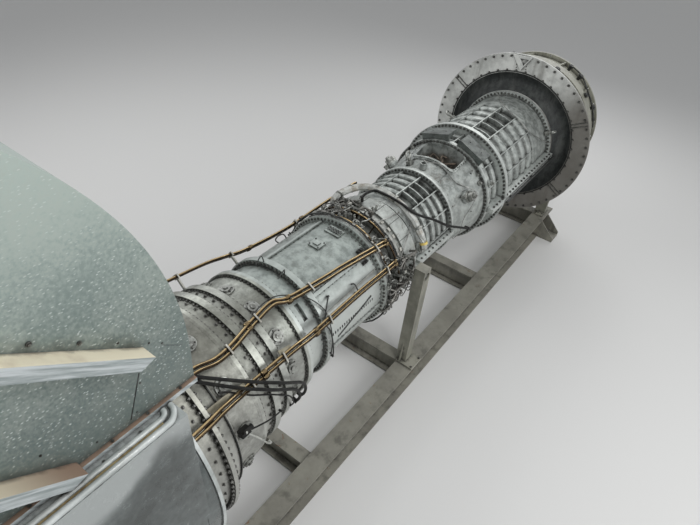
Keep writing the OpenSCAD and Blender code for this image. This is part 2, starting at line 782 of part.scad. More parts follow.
// Angle brackets that stand on the rim of the intermediate flange and reach forward
module mounting_brackets() {
    half_w = bracket_r * tan(bracket_half_angle);
    foot_r = inter_flange_r * cos(bracket_half_angle) - bracket_t;
    color([0.36, 0.39, 0.38]) difference() {
        for (angle = bracket_angles) at_angle(angle) difference() {
            union() {
                translate([inter_x - bracket_t / 2, -half_w, bracket_r - bracket_t])
                    cube([bracket_reach, 2 * half_w, bracket_t]);
                translate([inter_x - bracket_t / 2, -half_w, foot_r])
                    cube([bracket_t, 2 * half_w, bracket_r - foot_r]);
                for (y = [-half_w + bracket_t / 2, half_w - bracket_t / 2]) translate([inter_x, y, 0])
                    plate_xz([[0, inter_flange_r], [0, bracket_r - 1],
                        [bracket_reach - bracket_t, bracket_r - 1],
                        [bracket_reach - bracket_t, bracket_r - 3 * bracket_t]], bracket_t);
            }
            for (y = [-half_w / 2, half_w / 2])
                translate([inter_x + bracket_reach / 2, y, bracket_r - 2 * bracket_t])
                    cylinder(h = 3 * bracket_t, r = bracket_bolt_r, $fn = 24);
        }
        turned([[0, inter_x - flange_t], [inter_flange_r, inter_x - flange_t],
            [inter_flange_r, inter_x + flange_t], [0, inter_x + flange_t]], seat_fn);
    }
}

// Round actuators on both sides of the intermediate casing
module side_canister() {
    color([0.60, 0.58, 0.55])
        for (side = [-1, 1]) at_angle(side * canister_angle) translate([canister_x, 0, canister_seat_r]) {
            cylinder(h = canister_h, r = canister_r, $fn = 48);
            cylinder(h = canister_h / 3, r = canister_r + 10, $fn = 48);
            translate([0, 0, canister_h]) cylinder(h = 26, r = canister_r / 2, $fn = 32);
        }
}

// Ribbed high-pressure casing, smooth at its rear end, with a port for the far pipes
module compressor_rear_casing() {
    band_x = collar_x + hpc_smooth_len;
    band_end = hpc_x - flange_t - hpc_front_gap;
    pitch = (band_end - band_x) / hpc_bands;
    ridge_r = hpc_r + hpc_ridge_h;
    color([0.74, 0.75, 0.73]) {
        difference() {
            turned(concat([[0, collar_x]],
                [for (i = [0:len(hpc_ridges) - 1])
                    [ridge_r - (i % 4 == 1 || i % 4 == 2 ? hpc_ridge_h / 2 : 0), collar_x + hpc_ridges[i]]],
                [[hpc_r, band_x]], round_bands(band_x, pitch, hpc_bands, hpc_r, hpc_r + rib_h),
                [[hpc_r, hpc_x - flange_t], [hpc_flange_r, hpc_x - flange_t],
                 [hpc_flange_r, hpc_x], [0, hpc_x]]));
            open_bay(band_x, band_end, hpc_r - pocket_depth, hpc_rib_start, hpc_ribs);
        }
        bay_webs(band_x, pitch, hpc_bands, hpc_r - pocket_depth, hpc_r + rib_h, hpc_rib_start, hpc_ribs);
        long_ribs(hpc_ribs, band_x - 1, band_end + hpc_front_gap + 1, hpc_r - pocket_depth - rib_seat,
            hpc_r + rib_h + 4, rib_w, hpc_rib_start);
        split_flanges(collar_x + 1, hpc_x - 1, hpc_flange_r + 22);
        at_angle(hpc_port_angle) translate([hpc_port_x, 0, 0])
            cylinder(h = hpc_port_r, r = bleed_boss_r, $fn = 48);
        at_angle(bleed_end_angle) translate([ring_x + bleed_end_x, 0, 0])
            cylinder(h = bleed_end_r, r = bleed_boss_r, $fn = 48);
    }
}

// Collar of covers that gather the bleed air, with a trunnion on each side
module bleed_collar() {
    cover_x = burner_x + panel_step;
    cover_end = collar_x - panel_gap;
    color([0.78, 0.79, 0.76]) {
        difference() {
            turned([[0, burner_x], [burner_skin_r, burner_x], [burner_skin_r, cover_x],
                [panel_r, cover_x], [panel_r, cover_end], [collar_end_r, cover_end + panel_gap / 2],
                [collar_end_r, collar_x], [0, collar_x]]);
            round_axis(panel_count, 180 / panel_count)
                translate([cover_x - 1, -panel_seam / 2, panel_r - panel_seam])
                    cube([cover_end - cover_x + panel_gap / 2, panel_seam, 2 * panel_seam]);
        }
        for (side = [-1, 1]) mirror([0, side < 0 ? 1 : 0, 0])
            translate([post_x, 0, axis_h]) rotate([-90, 0, 0]) {
                cylinder(h = trunnion_y - running_gap, r = trunnion_r + 30, $fn = 48);
                cylinder(h = trunnion_y + post_w - 20, r = trunnion_r - running_gap, $fn = 48);
            }
    }
}

module burner_casing() {
    color([0.62, 0.60, 0.56]) {
        turned([[0, comb_x], [comb_flange_r, comb_x], [comb_flange_r, comb_x + flange_t],
            [burner_core_r, comb_x + 2 * flange_t], [burner_core_r, burner_flange_x],
            [burner_flange_r, burner_flange_x], [burner_flange_r, burner_flange_x + flange_t],
            [burner_skin_r, burner_flange_x + flange_t], [burner_skin_r, burner_x], [0, burner_x]]);
        // Port that the bleed pipe stands on
        at_angle(bleed_start_angle) translate([ring_x + route_bleed[0][0], 0, 0])
            cylinder(h = bleed_port_r, r = bleed_boss_r, $fn = 48);
    }
}

// Burner heads, each a square block with a plug, standing on the core
module burner_heads() {
    color([0.66, 0.65, 0.62]) difference() {
        round_axis(burner_count, 180 / burner_count) translate([burner_head_x, 0, 0]) {
            translate([-head_len / 2, -head_w / 2, burner_core_r / 2])
                cube([head_len, head_w, head_r - burner_core_r / 2]);
            cylinder(h = head_r + 16, r = head_len / 3, $fn = 6);
        }
        turned([[0, comb_x], [burner_core_r, comb_x], [burner_core_r, burner_x], [0, burner_x]], seat_fn);
    }
}

// A round manifold with a stem down to the core at every burner
module fuel_ring(x, tube_r) {
    stem_r = tube_r * 0.7;
    translate([x, 0, axis_h]) rotate([0, 90, 0]) rotate_extrude($fn = round_fn)
        translate([fuel_ring_r, 0]) circle(r = tube_r, $fn = 24);
    difference() {
        round_axis(burner_count) translate([x, 0, burner_core_r - 20])
            cylinder(h = fuel_ring_r - burner_core_r + 20, r = stem_r, $fn = 16);
        turned([[0, comb_x], [burner_core_r, comb_x], [burner_core_r, burner_x], [0, burner_x]], seat_fn);
    }
}

module fuel_ring_front() {
    color([0.50, 0.42, 0.30]) fuel_ring(fuel_front_x, fuel_front_tube);
}

module fuel_ring_rear() {
    color([0.46, 0.40, 0.32]) fuel_ring(fuel_rear_x, fuel_rear_tube);
}

// Combustor casing, with a row of slots low on its right side
module combustor_casing() {
    color([0.66, 0.68, 0.67]) difference() {
        turned([[0, skirt_x], [comb_flange_r, skirt_x], [comb_flange_r, skirt_x + flange_t],
            [comb_r, skirt_x + flange_t + 10], [comb_r, comb_x - flange_t - 10],
            [comb_flange_r, comb_x - flange_t], [comb_flange_r, comb_x], [0, comb_x]]);
        at_angle(slot_angle) for (i = [0:slot_count - 1])
            translate([skirt_x + slot_first + i * slot_pitch, -slot_h / 2, comb_r - slot_deep])
                cube([slot_w, slot_h, 2 * slot_deep]);
    }
}

// Strips that close the joints between the combustor's covers
module combustor_rails() {
    from_x = skirt_x + flange_t + 20;
    rail_len = comb_len - 2 * (flange_t + 20);
    color([0.62, 0.64, 0.63]) difference() {
        round_axis(comb_rails, comb_rail_start)
            translate([from_x, -comb_rail_w / 2, comb_r - 10])
                cube([rail_len, comb_rail_w, comb_rail_h + 10]);
        turned([[0, skirt_x], [comb_r, skirt_x], [comb_r, comb_x], [0, comb_x]], seat_fn);
    }
}

// Covers on the combustor: a square one with a knob and a slotted one ahead of it
module access_covers() {
    color([0.60, 0.62, 0.60]) difference() {
        at_angle(cover_angle) {
            for (cover = cover_shapes)
                translate([ring_x + cover[0], -cover[2] / 2, comb_r - rib_seat])
                    cube([cover[1], cover[2], rib_seat + cover[3]]);
            for (i = [0:cover_hole_count - 1]) for (row = [-1, 1])
                translate([ring_x + cover_holes_x + row * cover_hole_pitch / 2,
                           (i - (cover_hole_count - 1) / 2) * cover_hole_pitch, comb_r - 1])
                    difference() {
                        cylinder(h = cover_rim_h, r = cover_rim_r, $fn = 24);
                        translate([0, 0, 1]) cylinder(h = cover_rim_h, r = cover_hole_r, $fn = 24);
                    }
        }
        turned([[0, skirt_x], [comb_r, skirt_x], [comb_r, comb_x], [0, comb_x]], seat_fn);
    }
}

module combustor_skirt() {
    color([0.70, 0.71, 0.68]) difference() {
        turned([[0, turb_a_x], [turb_a_r, turb_a_x], [turb_a_r, turb_a_x + flange_t],
            [comb_r + 16, turb_a_x + flange_t + 12], [comb_r, skirt_x - flange_t],
            [comb_flange_r, skirt_x - flange_t], [comb_flange_r, skirt_x], [0, skirt_x]]);
        at_angle(skirt_slot_angle)
            translate([skirt_x - skirt_len / 2 - skirt_slot[0] / 2, -skirt_slot[1] / 2, comb_r - slot_h])
                cube(skirt_slot);
    }
}

module turbine_casing_front() {
    color([0.60, 0.58, 0.52])
        turned([[0, turb_b_x], [turb_b_r, turb_b_x], [turb_b_r, turb_b_x + flange_t],
            [turb_a_body_r + 22, turb_b_x + flange_t + 8], [turb_a_body_r + 22, boss_x - boss_r - 14],
            [turb_a_body_r, boss_x - boss_r - 8], [turb_a_body_r, turb_a_x - flange_t],
            [turb_a_r, turb_a_x - flange_t], [turb_a_r, turb_a_x], [0, turb_a_x]]);
}

module turbine_casing_middle() {
    color([0.58, 0.56, 0.49])
        turned([[0, turb_c_x], [turb_c_r, turb_c_x], [turb_c_r, turb_c_x + flange_t],
            [turb_b_r - 8, turb_c_x + flange_t + 6], [turb_b_r - 22, turb_b_x - flange_t],
            [turb_b_r, turb_b_x - flange_t], [turb_b_r, turb_b_x], [0, turb_b_x]]);
}

module turbine_casing_rear() {
    color([0.58, 0.56, 0.49])
        turned([[0, exit_x], [turb_d_r, exit_x], [turb_d_r, exit_x + flange_t],
            [turb_c_r - 12, exit_x + flange_t + 6], [turb_c_r - 24, turb_c_x - flange_t],
            [turb_c_r, turb_c_x - flange_t], [turb_c_r, turb_c_x], [0, turb_c_x]]);
}

// Cone that opens from the last turbine stage to the exhaust collector
module exit_cone() {
    color([0.58, 0.56, 0.49]) difference() {
        turned([[0, exit_end_x], [exit_r, exit_end_x], [exit_r, exit_end_x + flange_t],
            [exit_r - 34, exit_end_x + flange_t], [cone_band_r + 30, boss_rear_x - boss_r - 30],
            [cone_band_r, boss_rear_x - boss_r - 20], [cone_band_r, exit_x - flange_t],
            [turb_d_r, exit_x - flange_t], [turb_d_r, exit_x], [0, exit_x]]);
        // Gas passage open towards the collector, round the fairing of the shaft
        turned([[0, exit_end_x - 1], [cone_band_r - 20, exit_end_x - 1],
            [cone_band_r - 60, exit_end_x + passage_depth], [0, exit_end_x + passage_depth]]);
    }
}

// Round bosses of the inspection ports
module boss_shape(seat_r) {
    translate([0, 0, seat_r]) {
        cylinder(h = 14, r = boss_r, $fn = 48);
        cylinder(h = 30, r = boss_r * 0.62, $fn = 48);
        cylinder(h = 40, r = boss_r * 0.28, $fn = 24);
    }
}

module inspection_bosses() {
    color([0.56, 0.55, 0.52]) difference() {
        union() {
            round_axis(boss_count, boss_start) translate([boss_x, 0, 0]) boss_shape(turb_a_body_r - 4);
            round_axis(boss_rear_count, boss_rear_start)
                translate([boss_rear_x, 0, 0]) boss_shape(cone_band_r - 4);
        }
        turned([[0, turb_b_x], [turb_a_body_r, turb_b_x], [turb_a_body_r, turb_a_x],
            [0, turb_a_x]], seat_fn);
        turned([[0, exit_end_x], [cone_band_r, exit_end_x], [cone_band_r, exit_x],
            [0, exit_x]], seat_fn);
    }
}

// Thin rails along both sides, held by clips on the joint flanges
module side_rails() {
    rail_y = lpc_flange_r + split_out + side_rail_r + 14;
    clip_places = [mid_x + 120, (mid_x + front_x) / 2, front_x - 120];
    color([0.35, 0.35, 0.34])
        for (side = [-1, 1]) mirror([0, side < 0 ? 1 : 0, 0]) {
            translate([mid_x - 40, rail_y, axis_h]) rotate([0, 90, 0])
                cylinder(h = lpc_front_len + 20, r = side_rail_r, $fn = 24);
            for (x = clip_places)
                translate([x - 15, lpc_flange_r + split_out, axis_h - 10])
                    cube([30, side_rail_r + 14, 20]);
        }
}

// The cross-section of the exhaust collector, seen along the engine
module hood_outline(inset) {
    lower_r = hood_r - inset;
    top_half = hood_top_half - inset;
    top_h = ledge_h - inset;
    corner = atan(top_half / top_h);
    reach = sqrt(top_half * top_half + top_h * top_h);
    touch = corner + acos(lower_r / reach);
    circle(r = lower_r, $fn = round_fn);
    polygon([[0, 0], [lower_r * sin(touch), lower_r * cos(touch)], [top_half, top_h],
             [-top_half, top_h], [-lower_r * sin(touch), lower_r * cos(touch)]]);
}

// Extrudes an outline of the YZ plane along X from one place
module across(x, length) {
    translate([x, 0, axis_h]) rotate([90, 0, 90]) linear_extrude(length) children();
}

// Front plate of the collector's box, and the drum that runs on from it to the exit cone
module exhaust_front_wall() {
    open_half = duct_half_w - duct_wall;
    neck_r = exit_r - neck_step;
    color([0.46, 0.48, 0.48]) {
        difference() {
            across(box_x - duct_wall, duct_wall) {
                hood_outline(duct_wall);
                translate([-open_half, 0]) square([2 * open_half, ledge_h]);
            }
            translate([box_x - 2 * duct_wall, 0, axis_h]) rotate([0, 90, 0])
                cylinder(h = 4 * duct_wall, r = hood_r - drum_lip, $fn = round_fn);
        }
        turned([[hood_r - 2 * duct_wall, box_x], [hood_r, box_x], [hood_r, rim_x],
            [neck_r + duct_wall, rim_x], [neck_r + duct_wall, exit_end_x - duct_wall],
            [exit_r, exit_end_x - duct_wall], [exit_r, exit_end_x], [neck_r, exit_end_x],
            [neck_r, rim_x - duct_wall], [hood_r - duct_wall, rim_x - duct_wall],
            [hood_r - duct_wall, box_x + duct_wall], [hood_r - 2 * duct_wall, box_x + duct_wall]]);
    }
}

// Shell of the collector: its sides and the plates beside the duct, open under the duct
module exhaust_shell() {
    open_half = duct_half_w - duct_wall;
    color([0.46, 0.48, 0.48]) across(hood_end_x, box_x - hood_end_x) difference() {
        hood_outline(0);
        hood_outline(duct_wall);
        translate([-open_half, ledge_h - 2 * duct_wall]) square([2 * open_half, 3 * duct_wall]);
    }
}

module exhaust_rear_wall() {
    open_half = duct_half_w - duct_wall;
    color([0.46, 0.48, 0.48]) difference() {
        across(hood_end_x, duct_wall) {
            hood_outline(duct_wall);
            translate([-open_half, 0]) square([2 * open_half, ledge_h]);
        }
        translate([hood_end_x - 1, 0, axis_h]) rotate([0, 90, 0])
            cylinder(h = 2 * duct_wall, r = tail_hub_r, $fn = 48);
    }
}

// Fairing round the shaft inside the collector, with the coupling flange behind it
module exhaust_tail_cone() {
    coupling_x = hood_end_x - coupling_out;
    recess_r = coupling_r / 2;
    color([0.42, 0.40, 0.38]) difference() {
        turned([[0, coupling_x], [coupling_r, coupling_x], [coupling_r, coupling_x + coupling_t],
            [shaft_r, coupling_x + coupling_t + 10], [shaft_r, hood_end_x], [tail_hub_r, hood_end_x],
            [tail_hub_r, exit_end_x + passage_depth], [0, exit_end_x + passage_depth]]);
        round_axis(coupling_holes) translate([coupling_x - 1, 0, coupling_pcd_r]) rotate([0, 90, 0])
            cylinder(h = coupling_t + 2, r = coupling_hole_r, $fn = 32);
        turned([[0, coupling_x - 1], [recess_r, coupling_x - 1],
            [recess_r, coupling_x + coupling_t / 3], [0, coupling_x + coupling_t / 3]]);
    }
}

// Half-round beads on the collector's top plates, turned in at its front corners, and the front rim
module exhaust_front_bead() {
    turn_x = box_x - bead_half_w[1] + bead_turn_y - bead_r - 3;
    color([0.50, 0.52, 0.52]) {
        difference() {
            for (side = [-1, 1]) mirror([0, side < 0 ? 1 : 0, 0]) for (half_w = bead_half_w)
                translate([0, 0, axis_h + ledge_h + bead_lift]) {
                    translate([hood_end_x, half_w, 0]) rotate([0, 90, 0])
                        cylinder(h = turn_x - hood_end_x, r = bead_r, $fn = 32);
                    intersection() {
                        translate([turn_x, bead_turn_y, 0]) rotate_extrude($fn = round_fn)
                            translate([half_w - bead_turn_y, 0]) circle(r = bead_r, $fn = 32);
                        translate([turn_x, bead_turn_y, -bead_r])
                            cube([hood_setback + bead_r, hood_r, 2 * bead_r]);
                    }
                }
            translate([hood_end_x - 1, -hood_r, axis_h + ledge_h - 2 * bead_r])
                cube([hood_len, 2 * hood_r, 2 * bead_r]);
        }
        turned([[hood_r - duct_wall, rim_x], [hood_r + rim_bead_r, rim_x],
            [hood_r + rim_bead_r, rim_x + 2 * rim_bead_r], [hood_r - duct_wall, rim_x + 2 * rim_bead_r]]);
    }
}

// A point of the straight tail behind the bend, from its place across and along the duct
function tail_point(across_d, along) =
    [across_d * cos(bend_angle) - along * sin(bend_angle),
     across_d * sin(bend_angle) + along * cos(bend_angle)];

// An upright piece of the duct, from its outline in the XZ plane round the bend's inner corner
module duct_place(width) {
    translate([hood_end_x, 0, axis_h + bend_h]) rotate([90, 0, 0])
        linear_extrude(width, center = true) children();
}

module duct_side(side) {
    color([0.52, 0.57, 0.60])
        translate([0, side * (duct_half_w - duct_wall / 2), 0]) duct_place(duct_wall)
            polygon(concat([[0, 0], [0, -duct_rise], [hood_len, -duct_rise]],
                arc_points(0, 0, hood_len, 0, bend_angle, bend_steps),
                [tail_point(hood_len, tail_len), tail_point(0, tail_len)]));
}

// Curved front wall of the duct, with a lip below it back to the collector's front wall
module duct_front_wall() {
    inner = hood_len - duct_wall;
    lip_end = hood_len - box_setback - duct_wall;
    color([0.52, 0.57, 0.60]) duct_place(2 * (duct_half_w - duct_wall))
        polygon(concat([[hood_len, -duct_rise]],
            arc_points(0, 0, hood_len, 0, bend_angle, bend_steps),
            [tail_point(hood_len, tail_len), tail_point(inner, tail_len)],
            arc_points(0, 0, inner, bend_angle, 0, bend_steps),
            [[inner, duct_wall - duct_rise], [lip_end, duct_wall - duct_rise], [lip_end, -duct_rise]]));
}

module duct_rear_wall() {
    color([0.50, 0.55, 0.58]) duct_place(2 * (duct_half_w - duct_wall))
        polygon([[0, -duct_rise], [duct_wall, -duct_rise],
                 [duct_wall, duct_wall * tan(bend_angle / 2)],
                 tail_point(duct_wall, tail_len), tail_point(0, tail_len), [0, 0]]);
}

// Joint angles where the duct stands on the collector, and the folded strips on its sides
module duct_stiffeners() {
    color([0.50, 0.50, 0.47])
        for (side = [-1, 1]) mirror([0, side < 0 ? 1 : 0, 0]) {
            translate([hood_end_x, duct_half_w, axis_h + ledge_h]) cube([hood_len, ledge_w, ledge_t]);
            translate([0, duct_half_w + strip_h / 2, 0]) duct_place(strip_h) strip_shapes();
        }
}

// Two strips that run with the leaning duct, each cut on the slant at its lower end
module strip_shapes() {
    for (i = [0, 1])
        polygon([tail_point(strip_top[i] - strip_w, strip_low[i] + strip_cut),
                 tail_point(strip_top[i], strip_low[i]),
                 tail_point(strip_top[i], tail_len - strip_gap),
                 tail_point(strip_top[i] - strip_w, tail_len - strip_gap)]);
}

module outlet_flange() {
    color([0.48, 0.52, 0.54])
        translate([hood_end_x, 0, axis_h + bend_h]) rotate([0, -bend_angle, 0])
            translate([0, 0, tail_len]) difference() {
                translate([-outlet_flange_w, -duct_half_w - outlet_flange_w, 0])
                    cube([hood_len + 2 * outlet_flange_w, 2 * (duct_half_w + outlet_flange_w), clamp_t]);
                translate([duct_wall, -duct_half_w + duct_wall, -1])
                    cube([hood_len - 2 * duct_wall, 2 * (duct_half_w - duct_wall), clamp_t + 2]);
            }
}

// A tube swept through points, with flat ends square to its first and last stretch
function unit(v) = v / norm(v);
function stretch_dir(p, i) = i == 0 ? unit(p[1] - p[0])
    : i == len(p) - 1 ? unit(p[i] - p[i - 1]) : unit(unit(p[i] - p[i - 1]) + unit(p[i + 1] - p[i]));
function ring_at(p, i, radius) =
    let (d = stretch_dir(p, i), a = unit(cross(d, abs(d[2]) > 0.9 ? [1, 0, 0] : [0, 0, 1])), b = cross(d, a))
    [for (k = [0:tube_sides - 1]) let (t = k * 360 / tube_sides)
        p[i] + radius * (cos(t) * a + sin(t) * b)];

module tube(points, radius) {
    n = len(points);
    s = tube_sides;
    polyhedron(
        points = [for (i = [0:n - 1]) each ring_at(points, i, radius)],
        faces = concat(
            [[for (k = [0:s - 1]) k]],
            [for (i = [0:n - 2]) for (k = [0:s - 1])
                [i * s + k, (i + 1) * s + k, (i + 1) * s + (k + 1) % s, i * s + (k + 1) % s]],
            [[for (k = [s - 1:-1:0]) (n - 1) * s + k]]));
}

// A point beside the engine: place along X from the ring, angle from the top, and radius
function beside(x, angle, radius) =
    [ring_x + x, -radius * sin(angle), axis_h + radius * cos(angle)];

module pipe_pair(route, pitch, radius = oil_pipe_r) {
    for (i = [0, 1])
        tube([for (p = route) beside(p[0], p[1] + i * pitch / p[2] * deg_per_rad, p[2])], radius);
}

module pipe_pair_top() {
    color([0.45, 0.38, 0.28]) pipe_pair(route_top, pipe_pitch);
}

module pipe_pair_side() {
    color([0.45, 0.38, 0.28]) pipe_pair(route_side, pipe_pitch);
}

module pipe_pair_far() {
    color([0.45, 0.38, 0.28]) pipe_pair(route_far, pipe_pitch);
}

// Place along a route at a given place along the engine, as angle and radius
function on_route(route, x) =
    let (n = [for (i = [0:len(route) - 2]) if (route[i][0] >= x && route[i + 1][0] < x) i][0],
         s = (route[n][0] - x) / (route[n][0] - route[n + 1][0]))
    [route[n][1] + s * (route[n + 1][1] - route[n][1]),
     route[n][2] + s * (route[n + 1][2] - route[n][2])];

// Clamp plates that stand on the flanges' rims and hold a pair of pipes
module route_clamps(route) {
    for (seat = clamp_seats) {
        place = on_route(route, seat[0] - ring_x);
        half_w = pipe_pitch / 2 + oil_pipe_r + 8;
        mid = place[0] + pipe_pitch / 2 / place[1] * deg_per_rad;
        difference() {
            at_angle(mid) {
                translate([seat[0] - clamp_t / 2, -half_w, place[1] - oil_pipe_r - 6])
                    cube([clamp_t, 2 * half_w, 2 * oil_pipe_r + 12]);
                translate([seat[0] - clamp_t / 2, -oil_pipe_r, seat[1] - 20])
                    cube([clamp_t, 2 * oil_pipe_r, place[1] - oil_pipe_r - seat[1] + 16]);
            }
            turned([[0, seat[0] - clamp_t], [seat[1], seat[0] - clamp_t],
                [seat[1], seat[0] + clamp_t], [0, seat[0] + clamp_t]], seat_fn);
            pipe_pair(route, pipe_pitch, oil_pipe_r + running_gap);
        }
    }
}

module pipe_clamps() {
    color([0.80, 0.79, 0.74]) for (route = [route_top, route_side, route_far]) route_clamps(route);
}

module bleed_pipe() {
    color([0.76, 0.76, 0.72]) tube([for (p = route_bleed) beside(p[0], p[1], p[2])], bleed_pipe_r);
}

base_rail(1);  // base_rail_left
base_rail(-1);  // base_rail_right
base_cross_beams();
anchor_feet();
front_legs();
middle_posts();
exhaust_legs();
inlet_ring();
ring_gusset();
inlet_housing();
inlet_seal();
bellmouth();
nose_bullet();
inlet_guide_vanes();
compressor_front_casing();
compressor_middle_casing();
intermediate_casing();
opening_frame();
mounting_brackets();
side_canister();
compressor_rear_casing();
bleed_collar();
burner_casing();
burner_heads();
fuel_ring_front();
fuel_ring_rear();
combustor_casing();
combustor_rails();
access_covers();
combustor_skirt();
turbine_casing_front();
turbine_casing_middle();
turbine_casing_rear();
exit_cone();
inspection_bosses();
side_rails();
exhaust_front_wall();
exhaust_shell();
exhaust_rear_wall();
exhaust_tail_cone();
exhaust_front_bead();
duct_side(1);  // duct_side_left
duct_side(-1);  // duct_side_right
duct_front_wall();
duct_rear_wall();
duct_stiffeners();
outlet_flange();
pipe_pair_top();
pipe_pair_side();
pipe_pair_far();
pipe_clamps();
bleed_pipe();
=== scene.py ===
# Looks of the two-spool gas turbine: finishes, bolts, fittings, pipes and studio
import math
import random

import bmesh
import bpy
from mathutils import Matrix, Vector


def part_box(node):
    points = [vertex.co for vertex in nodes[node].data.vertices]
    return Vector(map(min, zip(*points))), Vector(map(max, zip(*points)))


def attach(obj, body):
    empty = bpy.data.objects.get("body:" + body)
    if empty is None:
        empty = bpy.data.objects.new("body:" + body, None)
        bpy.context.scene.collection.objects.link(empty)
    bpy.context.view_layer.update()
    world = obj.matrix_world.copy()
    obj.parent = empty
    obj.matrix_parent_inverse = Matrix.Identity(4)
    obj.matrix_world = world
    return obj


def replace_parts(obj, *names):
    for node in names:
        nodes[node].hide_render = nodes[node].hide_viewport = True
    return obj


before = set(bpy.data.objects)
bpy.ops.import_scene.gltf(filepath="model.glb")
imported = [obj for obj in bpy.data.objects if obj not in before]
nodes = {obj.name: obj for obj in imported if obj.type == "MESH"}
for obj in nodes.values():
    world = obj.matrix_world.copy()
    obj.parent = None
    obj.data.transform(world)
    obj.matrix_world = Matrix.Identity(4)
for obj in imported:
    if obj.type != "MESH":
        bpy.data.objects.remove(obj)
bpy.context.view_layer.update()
print("frame loaded:", len(nodes), "nodes")

# The engine's axis and the joints along it, read from the frame
rootBody = "root"
axisHeight = (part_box("inlet_ring")[0][2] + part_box("inlet_ring")[1][2]) / 2
station = {"ring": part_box("inlet_ring")[0][0], "front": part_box("compressor_front_casing")[1][0]}
hotEnds = {"mid": "compressor_front_casing", "inter": "compressor_middle_casing", "hpc": "intermediate_casing",
           "collar": "compressor_rear_casing", "burner": "bleed_collar", "comb": "burner_casing",
           "skirt": "combustor_casing", "turbA": "combustor_skirt", "turbB": "turbine_casing_front",
           "turbC": "turbine_casing_middle", "exit": "turbine_casing_rear", "exitEnd": "exit_cone"}
for joint, casing in hotEnds.items():
    station[joint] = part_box(casing)[0][0]
hoodLow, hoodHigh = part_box("exhaust_shell")


def linkObject(name, data):
    made = bpy.data.objects.new(name, data)
    bpy.context.collection.objects.link(made)
    return made


# Camera at the photo's own angle
cameraSettings = {
    "place": (-3.6875, -2.2803, 4.9848),
    "yaw": 32.35,       # degrees to the left of +X
    "pitch": 39.55,     # degrees down
    "roll": 6.55,       # degrees, the picture's right side lifted
    "lens": 29.235,
    "sensor": 36.0,
    "farEnd": 200.0,
}


def makeCamera(settings):
    data = bpy.data.cameras.new("photoCamera")
    data.lens, data.sensor_width, data.clip_end = settings["lens"], settings["sensor"], settings["farEnd"]
    yaw, pitch, roll = (math.radians(settings[turn]) for turn in ("yaw", "pitch", "roll"))
    forward = Vector((math.cos(yaw) * math.cos(pitch), math.sin(yaw) * math.cos(pitch), -math.sin(pitch)))
    level = forward.to_track_quat("-Z", "Y").to_matrix().to_4x4()
    camera = linkObject("photoCamera", data)
    camera.matrix_world = Matrix.Translation(settings["place"]) @ Matrix.Rotation(-roll, 4, forward) @ level
    bpy.context.scene.camera = camera


makeCamera(cameraSettings)


# Short ways to add shader nodes to one tree
class Nodes:
    def __init__(self, tree):
        self.tree = tree

    def feed(self, socket, value):
        if isinstance(value, bpy.types.NodeSocket):
            self.tree.links.new(value, socket)
        else:
            socket.default_value = (*value, 1) if socket.type == "RGBA" else value

    def add(self, kind, inputs=None, **options):
        made = self.tree.nodes.new("ShaderNode" + kind)
        for key, value in options.items():
            setattr(made, key, value)
        for key, value in (inputs or {}).items():
            self.feed(made.inputs[key], value)
        return made.outputs

    def math(self, operation, first, second=0.0, clamp=False):
        return self.add("Math", {0: first, 1: second}, operation=operation, use_clamp=clamp)[0]

    def times(self, first, second):
        return self.math("MULTIPLY", first, second)

    def plus(self, first, second, clamp=False):
        return self.math("ADD", first, second, clamp)

    def minus(self, first, second):
        return self.math("SUBTRACT", first, second)

    def fade(self, value, low, high, start=0.0, end=1.0):
        return self.add("MapRange", {"Value": value, "From Min": low, "From Max": high, "To Min": start,
                                     "To Max": end}, clamp=True, interpolation_type="SMOOTHSTEP")[0]

    def mix(self, factor, first, second, blend="MIX"):
        return self.add("Mix", {0: factor, 6: first, 7: second}, data_type="RGBA", blend_type=blend)[2]

    # A colour laid over another where a mask says, thinned by its share
    def layer(self, base, mask, colour, share=None):
        return self.mix(mask if share is None else self.times(mask, share), base, colour)

    def spot(self):
        return self.add("TexCoord")["Object"]

    def parts(self, vector):
        return self.add("SeparateXYZ", {0: vector})

    def noise(self, spot, scale, detail, roughness=0.5, distortion=0.0):
        return self.add("TexNoise", {"Vector": spot, "Scale": scale, "Detail": detail, "Roughness": roughness,
                                     "Distortion": distortion})[0]

    def use(self, group, inputs=None):
        return self.add("Group", inputs, node_tree=group)

    # Painted shade with grime in corners, from how closed in a place is
    def corners(self, reach, scale):
        return self.use(cornerShadeAndGrimeGroup, {"Reach": reach, "Scale": scale})["Mask"]

    def bump(self, shader, height, strength, distance):
        made = self.add("Bump", {"Height": height, "Strength": strength, "Distance": distance})
        self.feed(shader["Normal"], made[0])

    def give(self, **results):
        out = self.tree.nodes.new("NodeGroupOutput").inputs
        for label, value in results.items():
            self.feed(out[label], value)
        return self.tree


def startGroup(name, inputs, outputs):
    tree = bpy.data.node_groups.new(name, "ShaderNodeTree")
    for label, usual in inputs.items():
        socket = tree.interface.new_socket(name=label, in_out="INPUT", socket_type="NodeSocketFloat")
        socket.default_value = usual
    for label in outputs:
        kind = "NodeSocketColor" if label == "Colour" else "NodeSocketFloat"
        tree.interface.new_socket(name=label, in_out="OUTPUT", socket_type=kind)
    return Nodes(tree), tree.nodes.new("NodeGroupInput").outputs


# Place on the engine: distance from its axis, arc round it and place along it
def buildEnginePlace():
    g, given = startGroup("enginePlace", {"Axis height": axisHeight}, ("Radius", "Around", "Along"))
    spot = g.parts(g.spot())
    high = g.minus(spot["Z"], given["Axis height"])
    radius = g.math("SQRT", g.plus(g.times(spot["Y"], spot["Y"]), g.times(high, high)))
    return g.give(Radius=radius, Around=g.math("ARCTAN2", spot["Y"], high), Along=spot["X"])
